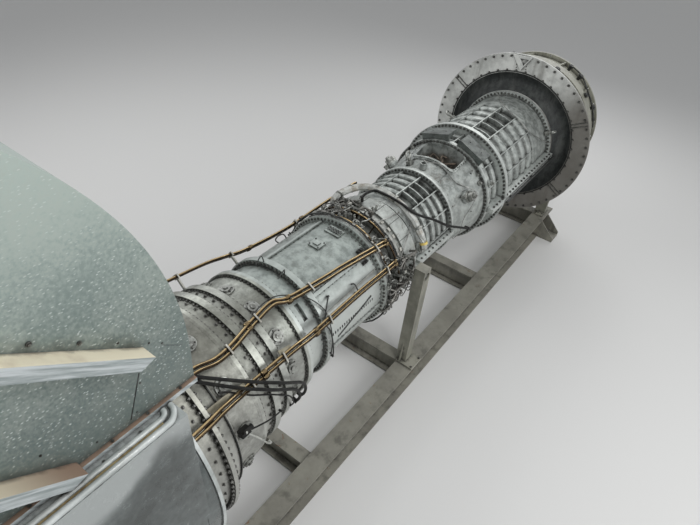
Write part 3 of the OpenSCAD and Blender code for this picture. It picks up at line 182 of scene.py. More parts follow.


# Painted shade with grime low down between ribs and flanges, darker below a rim radius, and grime in loose patches
def buildLowShadeAndGrime():
    g, given = startGroup("lowShadeAndGrime", {"Floor radius": 0.57, "Rim radius": 0.6, "Depth": 0.7, "Patches": 0.5,
                                    "Scale": 9.0}, ["Mask"])
    low = g.fade(g.use(placeGroup)["Radius"], given["Floor radius"], given["Rim radius"], 1.0, 0.0)
    spot = g.spot()
    broken = g.plus(g.times(g.noise(spot, given["Scale"], 7.0, 0.66, 0.6), 0.75),
                    g.times(g.noise(spot, 55.0, 4.0, 0.6), 0.25))
    inLow = g.times(g.times(low, given["Depth"]), g.fade(broken, 0.3, 0.6))
    patches = g.times(g.fade(broken, 0.54, 0.68), given["Patches"])
    return g.give(Mask=g.math("MAXIMUM", inLow, patches, True))


# Runs of dirt that point down a wall
def buildStreaks():
    g, given = startGroup("streaks", {"Scale": 10.0, "Stretch": 0.12, "Low": 0.5, "High": 0.75}, ["Mask"])
    spot = g.parts(g.spot())
    squeezed = g.add("CombineXYZ", {"X": spot["X"], "Y": spot["Y"], "Z": g.times(spot["Z"], given["Stretch"])})[0]
    return g.give(Mask=g.fade(g.noise(squeezed, given["Scale"], 6.0, 0.62), given["Low"], given["High"]))


# Fine unevenness of a surface: broad waves, grain and pits
def buildGrain():
    g, given = startGroup("grain", {"Scale": 120.0, "Waves": 0.4, "Pits": 0.2}, ("Height", "Tone"))
    spot = g.spot()
    pits = g.fade(g.add("TexVoronoi", {"Vector": spot, "Scale": 70.0})["Distance"], 0.0, 0.22, 1.0, 0.0)
    waves = g.plus(g.noise(spot, given["Scale"], 5.0, 0.65), g.times(g.noise(spot, 4.5, 3.0), given["Waves"]))
    return g.give(Height=g.minus(waves, g.times(pits, given["Pits"])), Tone=g.noise(spot, 13.0, 8.0, 0.7))


# Rust that starts in spots and spreads
def buildRust():
    g, given = startGroup("rust", {"Scale": 8.0, "Amount": 0.3}, ("Mask", "Colour"))
    spot = g.spot()
    edge = g.minus(0.78, g.times(given["Amount"], 0.4))
    mask = g.fade(g.noise(spot, given["Scale"], 9.0, 0.72, 0.8), edge, g.plus(edge, 0.07))
    return g.give(Mask=mask, Colour=g.mix(g.noise(spot, 60.0, 4.0), (0.10, 0.045, 0.02), (0.30, 0.145, 0.06)))


# Short bright slanted dashes in a zinc coat, and its cloudy tone
def buildSpangle():
    g, given = startGroup("spangle", {"Dash scale": 46.0, "Slant": 0.5}, ("Tone", "Dashes"))
    spot = g.spot()
    tone = g.plus(g.times(g.noise(spot, 75.0, 3.0), 0.45), g.times(g.noise(spot, 1.6, 5.0), 0.55))
    slant = g.add("CombineXYZ", {"Y": given["Slant"]})[0]
    turned = g.add("Mapping", {"Vector": spot, "Rotation": slant, "Scale": (0.34, 1.0, 1.0)})[0]
    cells = g.add("TexVoronoi", {"Vector": turned, "Scale": given["Dash scale"]})
    chosen = g.fade(g.add("SeparateColor", {0: cells["Color"]})[0], 0.05, 0.6)
    return g.give(Tone=tone, Dashes=g.times(g.fade(cells["Distance"], 0.12, 0.26, 1.0, 0.0), chosen))


# Painted shade with grime in corners and round fittings, darkest where a place is most closed in, with a broken edge
def buildCornerShadeAndGrime():
    g, given = startGroup("cornerShadeAndGrime", {"Reach": 0.03, "Scale": 45.0}, ["Mask"])
    closed = g.add("AmbientOcclusion", {"Distance": given["Reach"]}, samples=6)["AO"]
    broken = g.plus(closed, g.fade(g.noise(g.spot(), given["Scale"], 4.0), 0.3, 0.7, -0.13, 0.13))
    return g.give(Mask=g.fade(broken, 0.42, 0.9, 1.0, 0.0))


# How far a face looks up, and how far it looks out to either side
def buildFacing():
    g, given = startGroup("facing", {"Low": 0.45, "High": 0.9}, ("Up", "Aside"))
    normal = g.parts(g.add("NewGeometry")["Normal"])
    return g.give(Up=g.fade(normal["Z"], given["Low"], given["High"]),
                  Aside=g.fade(g.math("ABSOLUTE", normal["Y"]), given["Low"], given["High"]))


placeGroup = buildEnginePlace()
lowShadeAndGrimeGroup = buildLowShadeAndGrime()
streakGroup = buildStreaks()
grainGroup = buildGrain()
rustGroup = buildRust()
spangleGroup = buildSpangle()
cornerShadeAndGrimeGroup = buildCornerShadeAndGrime()
facingGroup = buildFacing()
print("shader groups built")


def startMaterial(name, metallic, roughness, specular=0.5, coat=0.0):
    material = bpy.data.materials.new(name)
    material.use_nodes = True
    shader = material.node_tree.nodes["Principled BSDF"].inputs
    for label, value in {"Metallic": metallic, "Roughness": roughness, "Specular IOR Level": specular,
                         "Coat Weight": coat}.items():
        shader[label].default_value = value
    return material, Nodes(material.node_tree), shader


def dressNodes(material, *names):
    for name in names:
        holder = nodes[name]
        for socket in holder.material_slots:
            socket.material = material
        if not holder.material_slots:
            holder.data.materials.append(material)


def lowShadeAndGrimeMask(m, settings):
    return m.use(lowShadeAndGrimeGroup, {"Floor radius": settings["floorRadius"], "Rim radius": settings["rimRadius"],
                              "Depth": settings["depth"], "Patches": settings["patches"],
                              "Scale": settings["dirtScale"]})["Mask"]


# Cast or machined casings: painted shade with grime down to one radius and in every corner, and a painted lighter near
# side
def casingMetal(name, settings):
    rough = settings["roughness"]
    material, m, shader = startMaterial(name, settings["metallic"], rough)
    place = m.use(placeGroup)
    grain = m.use(grainGroup, {"Scale": settings["grainScale"], "Waves": 0.5, "Pits": settings["pits"]})
    lowShadeAndDirt = lowShadeAndGrimeMask(m, settings)
    corners = m.corners(settings["cornerShadeReach"], 40.0)
    runs = m.use(streakGroup, {"Scale": 14.0, "Stretch": 0.25, "Low": 0.5, "High": 0.75})["Mask"]
    rubbed = m.fade(place["Radius"], settings["rimRadius"] - 0.004, settings["rimRadius"] + 0.012)
    base = m.mix(m.fade(grain["Tone"], 0.34, 0.64), settings["dark"], settings["light"])
    base = m.layer(base, runs, settings["runColour"], settings["runs"])
    base = m.layer(base, rubbed, settings["rubbedColour"], settings["rubbed"])
    # Painted light: the near side is made lighter
    base = m.layer(base, m.fade(place["Around"], -0.45, -1.2), settings["nearSideLightColour"], settings["near"])
    # Painted shade with grime low down, then painted shade with grime in the corners
    base = m.layer(base, lowShadeAndDirt, settings["lowShadeAndGrimeColour"])
    m.feed(shader["Base Color"], m.layer(base, corners, settings["cornerShadeAndGrimeColour"], settings["corners"]))
    soiledAndShaded = m.math("MAXIMUM", lowShadeAndDirt, corners)
    m.feed(shader["Roughness"], m.plus(m.fade(grain["Tone"], 0.2, 0.8, rough - 0.08, rough + 0.1),
                                       m.times(soiledAndShaded, 0.3), True))
    m.feed(shader["Metallic"], m.times(m.minus(1.0, soiledAndShaded), settings["metallic"]))
    m.bump(shader, grain["Height"], settings["bump"], 0.004)
    return material


castSettings = {
    "metallic": 0.45, "roughness": 0.40, "grainScale": 160.0, "pits": 0.25, "bump": 0.35,
    "dark": (0.155, 0.17, 0.16), "light": (0.47, 0.50, 0.475), "runs": 0.45, "runColour": (0.10, 0.10, 0.085),
    "rubbed": 0.5, "rubbedColour": (0.58, 0.61, 0.585), "near": 0.25, "nearSideLightColour": (0.62, 0.65, 0.625),
    "cornerShadeReach": 0.035, "corners": 0.9, "cornerShadeAndGrimeColour": (0.022, 0.022, 0.019),
    "floorRadius": 0.575, "rimRadius": 0.602, "depth": 0.7, "patches": 0.5, "dirtScale": 9.0,
    "lowShadeAndGrimeColour": (0.035, 0.036, 0.032),
}
casingFinishes = {
    "compressor_front_casing": {},
    "compressor_middle_casing": {"floorRadius": 0.545, "rimRadius": 0.585, "depth": 0.8},
    "intermediate_casing": {"floorRadius": 0.44, "rimRadius": 0.50, "depth": 0.8, "patches": 0.6, "rubbed": 0.0,
                            "light": (0.40, 0.425, 0.405), "lowShadeAndGrimeColour": (0.085, 0.062, 0.042)},
    "opening_frame": {"floorRadius": 0.3, "rimRadius": 0.4, "rubbed": 0.0, "lowShadeAndGrimeColour": (0.085, 0.062, 0.042)},
    "compressor_rear_casing": {"floorRadius": 0.458, "rimRadius": 0.487, "depth": 0.8},
    "bleed_collar": {"floorRadius": 0.47, "rimRadius": 0.50, "depth": 0.6, "patches": 0.75, "roughness": 0.32,
                     "dirtScale": 12.0, "lowShadeAndGrimeColour": (0.075, 0.068, 0.052), "near": 0.0,
                     "light": (0.36, 0.38, 0.355), "dark": (0.11, 0.115, 0.10)},
}
for nodeName, changes in casingFinishes.items():
    dressNodes(casingMetal("cast_" + nodeName, {**castSettings, **changes}), nodeName)

# The combustor steel's near side is made much lighter, as painted light
steelSettings = {
    **castSettings, "metallic": 0.65, "roughness": 0.33, "grainScale": 60.0, "pits": 0.03, "bump": 0.08,
    "dark": (0.21, 0.235, 0.22), "light": (0.37, 0.41, 0.385), "runs": 0.3, "rubbedColour": (0.52, 0.56, 0.53),
    "floorRadius": 0.50, "rimRadius": 0.53, "depth": 0.12, "patches": 0.12, "dirtScale": 3.5, "near": 0.8,
}
dressNodes(casingMetal("combustorSteel", steelSettings), "combustor_casing", "combustor_rails", "access_covers",
           "combustor_skirt")


# Heat-tinted steel: olive and brown tones towards the hot end, a painted lighter near side, a painted dark reflection
# in a band just to the near side of the top, and painted shade with grime low down and in the corners
turbineSettings = {
    "roughness": 0.34, "hotX": station["exitEnd"] - 0.1, "coolX": station["turbA"] + 0.25,
    "tones": {0.0: (0.27, 0.27, 0.24), 1.0: (0.40, 0.42, 0.385), 0.3: (0.33, 0.332, 0.30),
              0.6: (0.37, 0.38, 0.345), 0.8: (0.39, 0.402, 0.372)},     # from hot to cool, both ends first
    "dark": (0.70, 0.70, 0.69), "light": (1.2, 1.2, 1.18), "near": 0.45, "nearSideLightColour": (0.60, 0.605, 0.58),
    "top": 0.55, "darkReflectionColour": (0.10, 0.10, 0.078), "depth": 0.4, "patches": 0.28, "dirtScale": 8.0,
    "lowShadeAndGrimeColour": (0.05, 0.046, 0.038), "corners": 0.92, "cornerShadeAndGrimeColour": (0.02, 0.019, 0.016),
}


def turbineMetal(name, changes):
    settings = {**turbineSettings, **changes}
    material, m, shader = startMaterial(name, 0.65, settings["roughness"])
    place = m.use(placeGroup)
    grain = m.use(grainGroup, {"Scale": 90.0, "Waves": 0.5, "Pits": 0.1})
    along = m.plus(place["Along"], m.times(m.noise(m.spot(), 5.0, 5.0, 0.6), 0.35))
    tint = m.add("ValToRGB", {0: m.fade(along, settings["hotX"], settings["coolX"])})[0]
    steps = tint.node.color_ramp.elements
    for position, shade in settings["tones"].items():
        step = steps[int(position)] if position in (0.0, 1.0) else steps.new(position)
        step.color = (*shade, 1)
    toned = m.mix(m.fade(grain["Tone"], 0.36, 0.66), settings["dark"], settings["light"])
    base = m.mix(1.0, tint, toned, "MULTIPLY")
    # Painted light: the near side is made lighter
    base = m.layer(base, m.fade(place["Around"], -0.7, -1.5), settings["nearSideLightColour"], settings["near"])
    # Painted reflection: a dark band just to the near side of the top
    top = m.times(m.fade(place["Around"], -0.75, -0.45), m.fade(place["Around"], 0.15, -0.25))
    base = m.layer(base, top, settings["darkReflectionColour"], settings["top"])
    # Painted shade with grime low down, then painted shade with grime in the corners
    lowShadeAndDirt = lowShadeAndGrimeMask(m, settings)
    base = m.layer(base, lowShadeAndDirt, settings["lowShadeAndGrimeColour"])
    corners = m.corners(0.035, 40.0)
    m.feed(shader["Base Color"], m.layer(base, corners, settings["cornerShadeAndGrimeColour"], settings["corners"]))
    soiledAndShaded = m.math("MAXIMUM", lowShadeAndDirt, corners)
    m.feed(shader["Roughness"], m.plus(settings["roughness"], m.times(soiledAndShaded, 0.35), True))
    m.bump(shader, grain["Height"], 0.2, 0.003)
    return material


turbineFinishes = {
    "turbine_casing_front": {"floorRadius": 0.555, "rimRadius": 0.585},
    "turbine_casing_middle": {"floorRadius": 0.60, "rimRadius": 0.625},
    "turbine_casing_rear": {"floorRadius": 0.635, "rimRadius": 0.66},
    "exit_cone": {"floorRadius": 0.685, "rimRadius": 0.71, "roughness": 0.4},
    "exhaust_tail_cone": {"floorRadius": 0.1, "rimRadius": 0.2, "roughness": 0.45},
}
for nodeName, changes in turbineFinishes.items():
    dressNodes(turbineMetal("hot_" + nodeName, changes), nodeName)


# Painted steel with dust on top, scuffs, runs of dirt, rust and painted shade in the corners, with a painted highlight
# band along the upper shoulder and a painted shadow on the near side where these are set
def paintFinish(name, settings):
    rough = settings["roughness"]
    material, m, shader = startMaterial(name, 0.0, rough, coat=settings["coat"])
    grain = m.use(grainGroup, {"Scale": 70.0, "Waves": 0.8, "Pits": 0.05})
    runs = m.use(streakGroup, {"Scale": settings["runScale"], "Stretch": 0.12, "Low": 0.48, "High": 0.72})["Mask"]
    rust = m.use(rustGroup, {"Scale": settings["rustScale"], "Amount": settings["rust"]})
    spot = m.spot()
    cloud = m.noise(spot, settings["cloudScale"], 4.0)
    tone = m.plus(m.times(grain["Tone"], 0.35), m.times(cloud, 0.65))
    base = m.mix(m.fade(tone, 0.38, 0.62), settings["dark"], settings["light"])
    up = m.use(facingGroup, {"Low": 0.6, "High": 0.95})["Up"]
    base = m.layer(base, up, settings["dustAndHighlightColour"], settings["dust"])
    # Painted highlight: a light band along the upper shoulder, in the dust colour
    level = m.plus(m.parts(spot)["Z"], m.fade(cloud, 0.3, 0.7, -0.12, 0.12))
    shoulderHighlight = m.fade(level, axisHeight + 0.84, axisHeight + 0.98)
    base = m.layer(base, shoulderHighlight, settings["dustAndHighlightColour"], settings["shoulderHighlight"])
    # Painted shadow: the near side darkened in the runs colour
    near = m.fade(m.use(placeGroup)["Around"], -0.35, -1.0)
    base = m.layer(base, near, settings["runColour"], settings["nearSideShadow"])
    base = m.layer(base, runs, settings["runColour"], settings["runs"])
    base = m.layer(base, rust["Mask"], rust["Colour"])
    # Painted shade in the corners
    corners = m.corners(0.045, 30.0)
    m.feed(shader["Base Color"], m.layer(base, corners, (0.03, 0.028, 0.024), 0.8))
    m.feed(shader["Roughness"], m.plus(m.fade(grain["Tone"], 0.2, 0.8, rough - 0.07, rough + 0.12),
                                       m.times(m.math("MAXIMUM", rust["Mask"], corners), 0.3), True))
    m.bump(shader, grain["Height"], settings["bump"], 0.003)
    return material


paintSettings = {"rust": 0.3, "rustScale": 9.0, "roughness": 0.5, "bump": 0.2, "cloudScale": 3.0, "runScale": 8.0,
                 "dust": 0.3, "coat": 0.0, "shoulderHighlight": 0.0, "nearSideShadow": 0.0}
paintFinishes = {
    "housingPaint": {"dark": (0.20, 0.20, 0.16), "light": (0.33, 0.33, 0.275), "runColour": (0.10, 0.095, 0.075),
                     "runs": 0.6, "runScale": 9.0, "rust": 0.25, "roughness": 0.45, "dustAndHighlightColour": (0.40, 0.40, 0.34)},
    # The ring's near side takes a strong painted shadow
    "ringPaint": {"dark": (0.43, 0.44, 0.42), "light": (0.70, 0.71, 0.68), "runColour": (0.10, 0.09, 0.075),
                  "runs": 0.6, "runScale": 6.0, "rust": 0.33, "rustScale": 11.0, "roughness": 0.48, "bump": 0.25,
                  "cloudScale": 2.5, "dustAndHighlightColour": (0.42, 0.43, 0.40), "nearSideShadow": 0.85},
    "supportPaint": {"dark": (0.19, 0.19, 0.155), "light": (0.32, 0.315, 0.26), "runColour": (0.09, 0.085, 0.07),
                     "runs": 0.5, "rustScale": 10.0, "dust": 0.4, "dustAndHighlightColour": (0.36, 0.35, 0.30)},
    "basePaint": {"dark": (0.16, 0.155, 0.13), "light": (0.27, 0.265, 0.22), "runColour": (0.07, 0.066, 0.055),
                  "runs": 0.6, "rust": 0.4, "roughness": 0.52, "bump": 0.25, "dust": 0.4,
                  "dustAndHighlightColour": (0.32, 0.31, 0.27)},
    # The hood's very dark base with large soft light clouds is painted dark reflection; its bright up-facing dust is
    # partly dust and partly painted highlight, and its shoulder band is painted highlight
    "hoodPaint": {"dark": (0.035, 0.043, 0.041), "light": (0.125, 0.145, 0.142), "runColour": (0.10, 0.105, 0.10),
                  "runs": 0.1, "runScale": 4.0, "rust": 0.0, "rustScale": 7.0, "roughness": 0.2, "bump": 0.05,
                  "coat": 0.5, "cloudScale": 1.3, "dust": 0.8, "dustAndHighlightColour": (0.46, 0.49, 0.485), "shoulderHighlight": 0.7},
    "beadPaint": {"dark": (0.33, 0.36, 0.35), "light": (0.60, 0.64, 0.63), "runColour": (0.20, 0.19, 0.16),
                  "runs": 0.25, "runScale": 6.0, "rust": 0.1, "rustScale": 12.0, "roughness": 0.3, "bump": 0.1,
                  "coat": 0.3, "cloudScale": 4.0, "dustAndHighlightColour": (0.62, 0.65, 0.64)},
}
paintedNodes = {
    "housingPaint": ["inlet_housing"],
    "ringPaint": ["inlet_ring", "ring_gusset", "bellmouth"],
    "supportPaint": ["front_legs", "middle_posts", "exhaust_legs"],
    "basePaint": ["base_rail_left", "base_rail_right", "base_cross_beams", "anchor_feet"],
    "hoodPaint": ["exhaust_front_wall", "exhaust_shell", "exhaust_rear_wall"],
    "beadPaint": ["exhaust_front_bead"],
}
for paintName, changes in paintFinishes.items():
    dressNodes(paintFinish(paintName, {**paintSettings, **changes}), *paintedNodes[paintName])


# Zinc-coated sheet of the duct, darker and more dashed low down
zincSettings = {"dark": (0.115, 0.155, 0.148), "light": (0.41, 0.485, 0.45), "cloud": (0.36, 0.37, 0.33),
                "dash": (0.72, 0.77, 0.75), "cornerShadeAndGrimeColour": (0.035, 0.04, 0.036), "roughness": 0.42,
                "dashScale": 105.0, "slant": 0.75, "lowZ": 2.75, "highZ": 4.1}


def zincFinish(settings):
    rough = settings["roughness"]
    material, m, shader = startMaterial("zincSheet", 0.3, rough)
    pattern = m.use(spangleGroup, {"Dash scale": settings["dashScale"], "Slant": settings["slant"]})
    level = m.plus(m.parts(m.spot())["Z"], m.fade(pattern["Tone"], 0.3, 0.7, -0.25, 0.25))
    low = m.fade(level, settings["lowZ"], settings["highZ"], 1.0, 0.0)
    base = m.mix(low, settings["light"], settings["dark"])
    base = m.layer(base, m.fade(pattern["Tone"], 0.35, 0.68, 0.0, 0.35), settings["cloud"])
    base = m.layer(base, pattern["Dashes"], settings["dash"], m.fade(low, 0.1, 0.9, 0.35, 0.95))
    # Painted shadow under the strips and painted shade in the corners, with some grime
    m.feed(shader["Base Color"], m.layer(base, m.corners(0.09, 12.0), settings["cornerShadeAndGrimeColour"], 0.8))
    m.feed(shader["Roughness"], m.fade(pattern["Tone"], 0.2, 0.8, rough - 0.08, rough + 0.1))
    m.bump(shader, pattern["Tone"], 0.03, 0.002)
    return material


dressNodes(zincFinish(zincSettings), "duct_side_left", "duct_side_right", "duct_front_wall", "duct_rear_wall")


# Folded strips and joint angles: brown tops, pale streaked faces
stripSettings = {"faceDark": (0.27, 0.31, 0.31), "faceLight": (0.55, 0.59, 0.60), "tan": (0.88, 0.80, 0.62),
                 "rust": (0.30, 0.205, 0.15), "stain": (0.36, 0.24, 0.17), "cornerShadeAndGrimeColour": (0.04, 0.035, 0.03),
                 "rustTop": axisHeight + 1.11, "rustFade": 0.35, "lean": math.radians(38), "stretch": 16.0}


def stripFinish(name, settings):
    material, m, shader = startMaterial(name, 0.15, 0.45)
    spot = m.spot()
    turned = m.add("Mapping", {"Vector": spot, "Rotation": (0.0, settings["lean"], 0.0),
                               "Scale": (settings["stretch"], 1.0, 1.0)}, vector_type="TEXTURE")[0]
    streaks = m.noise(turned, 60.0, 5.0, 0.6)
    face = m.mix(m.fade(streaks, 0.35, 0.65), settings["faceDark"], settings["faceLight"])
    high = m.fade(m.parts(spot)["Z"], settings["rustTop"], settings["rustTop"] + settings["rustFade"])
    top = m.mix(high, settings["rust"], settings["tan"])
    top = m.layer(top, m.fade(m.noise(spot, 4.0, 5.0), 0.5, 0.68, 0.0, 0.45), settings["stain"])
    base = m.mix(m.use(facingGroup, {"Low": 0.6, "High": 0.8})["Aside"], top, face)
    # Painted shade with grime in the corners
    m.feed(shader["Base Color"], m.layer(base, m.corners(0.03, 20.0), settings["cornerShadeAndGrimeColour"], 0.7))
    m.bump(shader, streaks, 0.05, 0.002)
    return material


for nodeName in ("duct_stiffeners", "outlet_flange"):
    dressNodes(stripFinish("strip_" + nodeName, stripSettings), nodeName)


# Small metal pieces: fasteners, fittings, pipes
def fittingMetal(name, settings):
    rough = settings["roughness"]
    material, m, shader = startMaterial(name, settings["metallic"], rough, settings.get("specular", 0.5))
    grain = m.use(grainGroup, {"Scale": 150.0, "Waves": 0.3, "Pits": 0.1})
    broad = m.noise(m.spot(), settings["patchScale"], 6.0, 0.65)
    base = m.mix(m.fade(grain["Tone"], 0.3, 0.7), settings["dark"], settings["light"])
    base = m.layer(base, m.fade(broad, 0.5, 0.64), settings["patchColour"], settings["patches"])
    # Painted highlight: a light line along up-facing tops
    if "topHighlight" in settings:
        base = m.layer(base, m.use(facingGroup, {"Low": 0.80, "High": 0.97})["Up"], settings["topHighlight"], 0.9)
    # Painted shade with grime in the corners
    m.feed(shader["Base Color"], m.layer(base, m.corners(0.02, 60.0), (0.02, 0.019, 0.016), 0.8))
    m.feed(shader["Roughness"], m.fade(broad, 0.3, 0.7, rough - 0.08, rough + 0.15))
    m.bump(shader, grain["Height"], 0.15, 0.002)
    return material


metalColumns = ("metallic", "roughness", "dark", "light", "patchColour", "patches", "patchScale")
metalFinishes = {
    "fittingSteel": (0.6, 0.36, (0.20, 0.205, 0.19), (0.42, 0.43, 0.40), (0.05, 0.047, 0.04), 0.6, 16.0),
    "boltSteel": (0.5, 0.38, (0.045, 0.044, 0.04), (0.20, 0.20, 0.185), (0.02, 0.019, 0.017), 0.75, 22.0),
    # The pipes' near-black body is partly painted dark reflection, and their light top line is a painted highlight
    "oxidisedPipe": (0.85, 0.2, (0.018, 0.011, 0.006), (0.065, 0.042, 0.02), (0.02, 0.014, 0.01), 0.3, 12.0),
    "bladeSteel": (0.7, 0.3, (0.26, 0.27, 0.26), (0.42, 0.43, 0.41), (0.2, 0.19, 0.17), 0.3, 10.0),
    "clampPaint": (0.0, 0.45, (0.36, 0.36, 0.32), (0.62, 0.61, 0.56), (0.22, 0.18, 0.13), 0.5, 15.0),
    "bleedMetal": (0.2, 0.5, (0.34, 0.35, 0.33), (0.60, 0.61, 0.58), (0.20, 0.15, 0.09), 0.5, 9.0),
    "railSteel": (0.6, 0.42, (0.018, 0.019, 0.018), (0.065, 0.067, 0.063), (0.015, 0.015, 0.014), 0.4, 14.0),
    "wireSteel": (0.7, 0.35, (0.16, 0.16, 0.15), (0.38, 0.38, 0.36), (0.10, 0.09, 0.08), 0.5, 12.0),
    "cableBlack": (0.0, 0.38, (0.005, 0.005, 0.005), (0.016, 0.016, 0.015), (0.05, 0.048, 0.042), 0.25, 20.0),
    "cablePale": (0.2, 0.4, (0.30, 0.31, 0.29), (0.55, 0.56, 0.52), (0.18, 0.17, 0.14), 0.5, 20.0),
    "carrierPaint": (0.3, 0.42, (0.17, 0.155, 0.11), (0.30, 0.28, 0.21), (0.10, 0.085, 0.055), 0.5, 9.0),
    "clutterSteel": (0.55, 0.36, (0.05, 0.046, 0.04), (0.24, 0.235, 0.215), (0.035, 0.03, 0.025), 0.75, 10.0),
    "soot": (0.1, 0.75, (0.05, 0.045, 0.04), (0.20, 0.155, 0.115), (0.035, 0.03, 0.026), 0.6, 15.0),
    "yellowTape": (0.0, 0.5, (0.60, 0.45, 0.10), (0.80, 0.63, 0.20), (0.30, 0.22, 0.08), 0.4, 30.0),
    "agedSealant": (0.0, 0.6, (0.24, 0.17, 0.07), (0.47, 0.38, 0.20), (0.14, 0.08, 0.035), 0.6, 14.0),
    "bracketPaint": (0.2, 0.45, (0.055, 0.065, 0.06), (0.13, 0.145, 0.135), (0.03, 0.03, 0.026), 0.5, 12.0),
}
metalExtras = {"oxidisedPipe": {"topHighlight": (0.50, 0.37, 0.19)}, "cableBlack": {"specular": 0.15}}
metals = {name: fittingMetal(name, {**dict(zip(metalColumns, row)), **metalExtras.get(name, {})})
          for name, row in metalFinishes.items()}
metalNodes = {
    "fittingSteel": ["burner_casing", "burner_heads", "inspection_bosses", "side_canister"],
    "oxidisedPipe": ["fuel_ring_front", "fuel_ring_rear", "pipe_pair_top", "pipe_pair_side", "pipe_pair_far"],
    "bladeSteel": ["nose_bullet", "inlet_guide_vanes"],
    "clampPaint": ["pipe_clamps"],
    "bleedMetal": ["bleed_pipe"],
    "railSteel": ["side_rails"],
    "bracketPaint": ["mounting_brackets"],
}
for metalName, names in metalNodes.items():
    dressNodes(metals[metalName], *names)


# Dusty black rubber of the dished seal
rubberSettings = {"dark": (0.006, 0.007, 0.007), "light": (0.024, 0.028, 0.027), "dust": (0.085, 0.09, 0.083)}


def rubberFinish(settings):
    material, m, shader = startMaterial("sealRubber", 0.0, 0.62, specular=0.35)
    grain = m.use(grainGroup, {"Scale": 90.0, "Waves": 1.0, "Pits": 0.1})
    runs = m.use(streakGroup, {"Scale": 8.0, "Stretch": 0.35, "Low": 0.42, "High": 0.7})["Mask"]
    base = m.mix(m.fade(grain["Tone"], 0.35, 0.7), settings["dark"], settings["light"])
    m.feed(shader["Base Color"], m.layer(base, runs, settings["dust"], 0.5))
    m.bump(shader, grain["Height"], 0.3, 0.006)
    return material


dressNodes(rubberFinish(rubberSettings), "inlet_seal")
print("materials assigned")


# Shared making of pieces
sharpAngle = math.radians(32.0)


def finishPiece(name, bm, material):
    bm.normal_update()
    for edge in bm.edges:
        edge.smooth = len(edge.link_faces) == 2 and edge.calc_face_angle(0.0) < sharpAngle
    for face in bm.faces:
        face.smooth = True
    mesh = bpy.data.meshes.new(name)
    bm.to_mesh(mesh)
    bm.free()
    mesh.materials.append(material)
    piece = linkObject(name, mesh)
    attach(piece, rootBody)
    return piece


def finishMetal(name, bm, metalName):
    return finishPiece(name, bm, metals[metalName])


def onEngine(x, angle, radius):
    turn = math.radians(angle)
    return Vector((x, -radius * math.sin(turn), axisHeight + radius * math.cos(turn)))


# Frame of a place on a casing: local Z points out from the axis, local X along the engine
def standing(x, angle, radius):
    turn = Matrix.Rotation(math.radians(angle), 4, "X")
    return Matrix.Translation(onEngine(x, angle, radius)) @ turn


# Frame of a place whose local Z points along a direction
def aimed(place, direction):
    turn = Vector(direction).to_track_quat("Z", "Y").to_matrix().to_4x4()
    return Matrix.Translation(place) @ turn


# A frame moved along its own axes
def shifted(place, x=0.0, y=0.0, z=0.0):
    return place @ Matrix.Translation((x, y, z))


def addCylinder(bm, place, radius, height, segments=16, topRadius=None):
    top = radius if topRadius is None else topRadius
    bmesh.ops.create_cone(bm, cap_ends=True, segments=segments, radius1=radius, radius2=top, depth=height,
                          matrix=shifted(place, z=height / 2))


def addBlock(bm, place, size):
    bmesh.ops.create_cube(bm, size=1.0, matrix=shifted(place, z=size[2] / 2) @ Matrix.Diagonal((*size, 1)))


# A bolt whose local Z is its axis: washer, hexagon and thread end
def addBolt(bm, place, size):
    addCylinder(bm, place, size * 1.05, size * 0.16, 10)
    addCylinder(bm, shifted(place, z=size * 0.16), size * 0.9, size * 0.75, 6)
    addCylinder(bm, shifted(place, z=size * 0.91), size * 0.5, size * 0.4, 6)


# A circle of bolts on a round cover
def addBoltCircle(bm, centre, circle, count, size, lift=0.0, first=0.0):
    for i in range(count):
        turn = 2 * math.pi * (i + first) / count
        addBolt(bm, shifted(centre, circle * math.cos(turn), circle * math.sin(turn), lift), size)


# Smooth route through listed points
def smoothRoute(points, steps=6):
    ends = [Vector(points[0])] + [Vector(point) for point in points] + [Vector(points[-1])]
    route = []
    for before, first, second, after in zip(ends, ends[1:], ends[2:], ends[3:]):
        for k in range(steps):
            t = k / steps
            route.append(0.5 * (2 * first + (second - before) * t
                                + (2 * before - 5 * first + 4 * second - after) * t ** 2
                                + (3 * first - before - 3 * second + after) * t ** 3))
    route.append(ends[-1])
    return route


# Joins one ring of a swept tube or strip to the last
def addWall(bm, last, ring):
    for k in range(len(ring)):
        after = (k + 1) % len(ring)
        bm.faces.new((last[k], last[after], ring[after], ring[k]))


# A round tube swept along a route
def addTube(bm, route, radius, sides=8):
    side = (route[1] - route[0]).orthogonal().normalized()
    last = None
    for i, place in enumerate(route):
        heading = (route[min(i + 1, len(route) - 1)] - route[max(i - 1, 0)]).normalized()
        side = (side - heading * side.dot(heading)).normalized()
        up = heading.cross(side)
        ring = [bm.verts.new(place + radius * (math.cos(turn) * side + math.sin(turn) * up))
                for turn in [2 * math.pi * k / sides for k in range(sides)]]
        if last:
            addWall(bm, last, ring)
        else:
            bm.faces.new(ring[::-1])
        last = ring
    bm.faces.new(last)


# The same along places given as station, angle from the top and radius
def addEngineTube(bm, places, radius, sides=8, steps=6):
    addTube(bm, [onEngine(*place) for place in smoothRoute(places, steps)], radius, sides)


def spinCopies(bm, count):
    bmesh.ops.spin(bm, geom=bm.verts[:] + bm.edges[:] + bm.faces[:], cent=(0, 0, axisHeight), axis=(1, 0, 0),
                   angle=2 * math.pi * (count - 1) / count, steps=count - 1, use_duplicate=True)


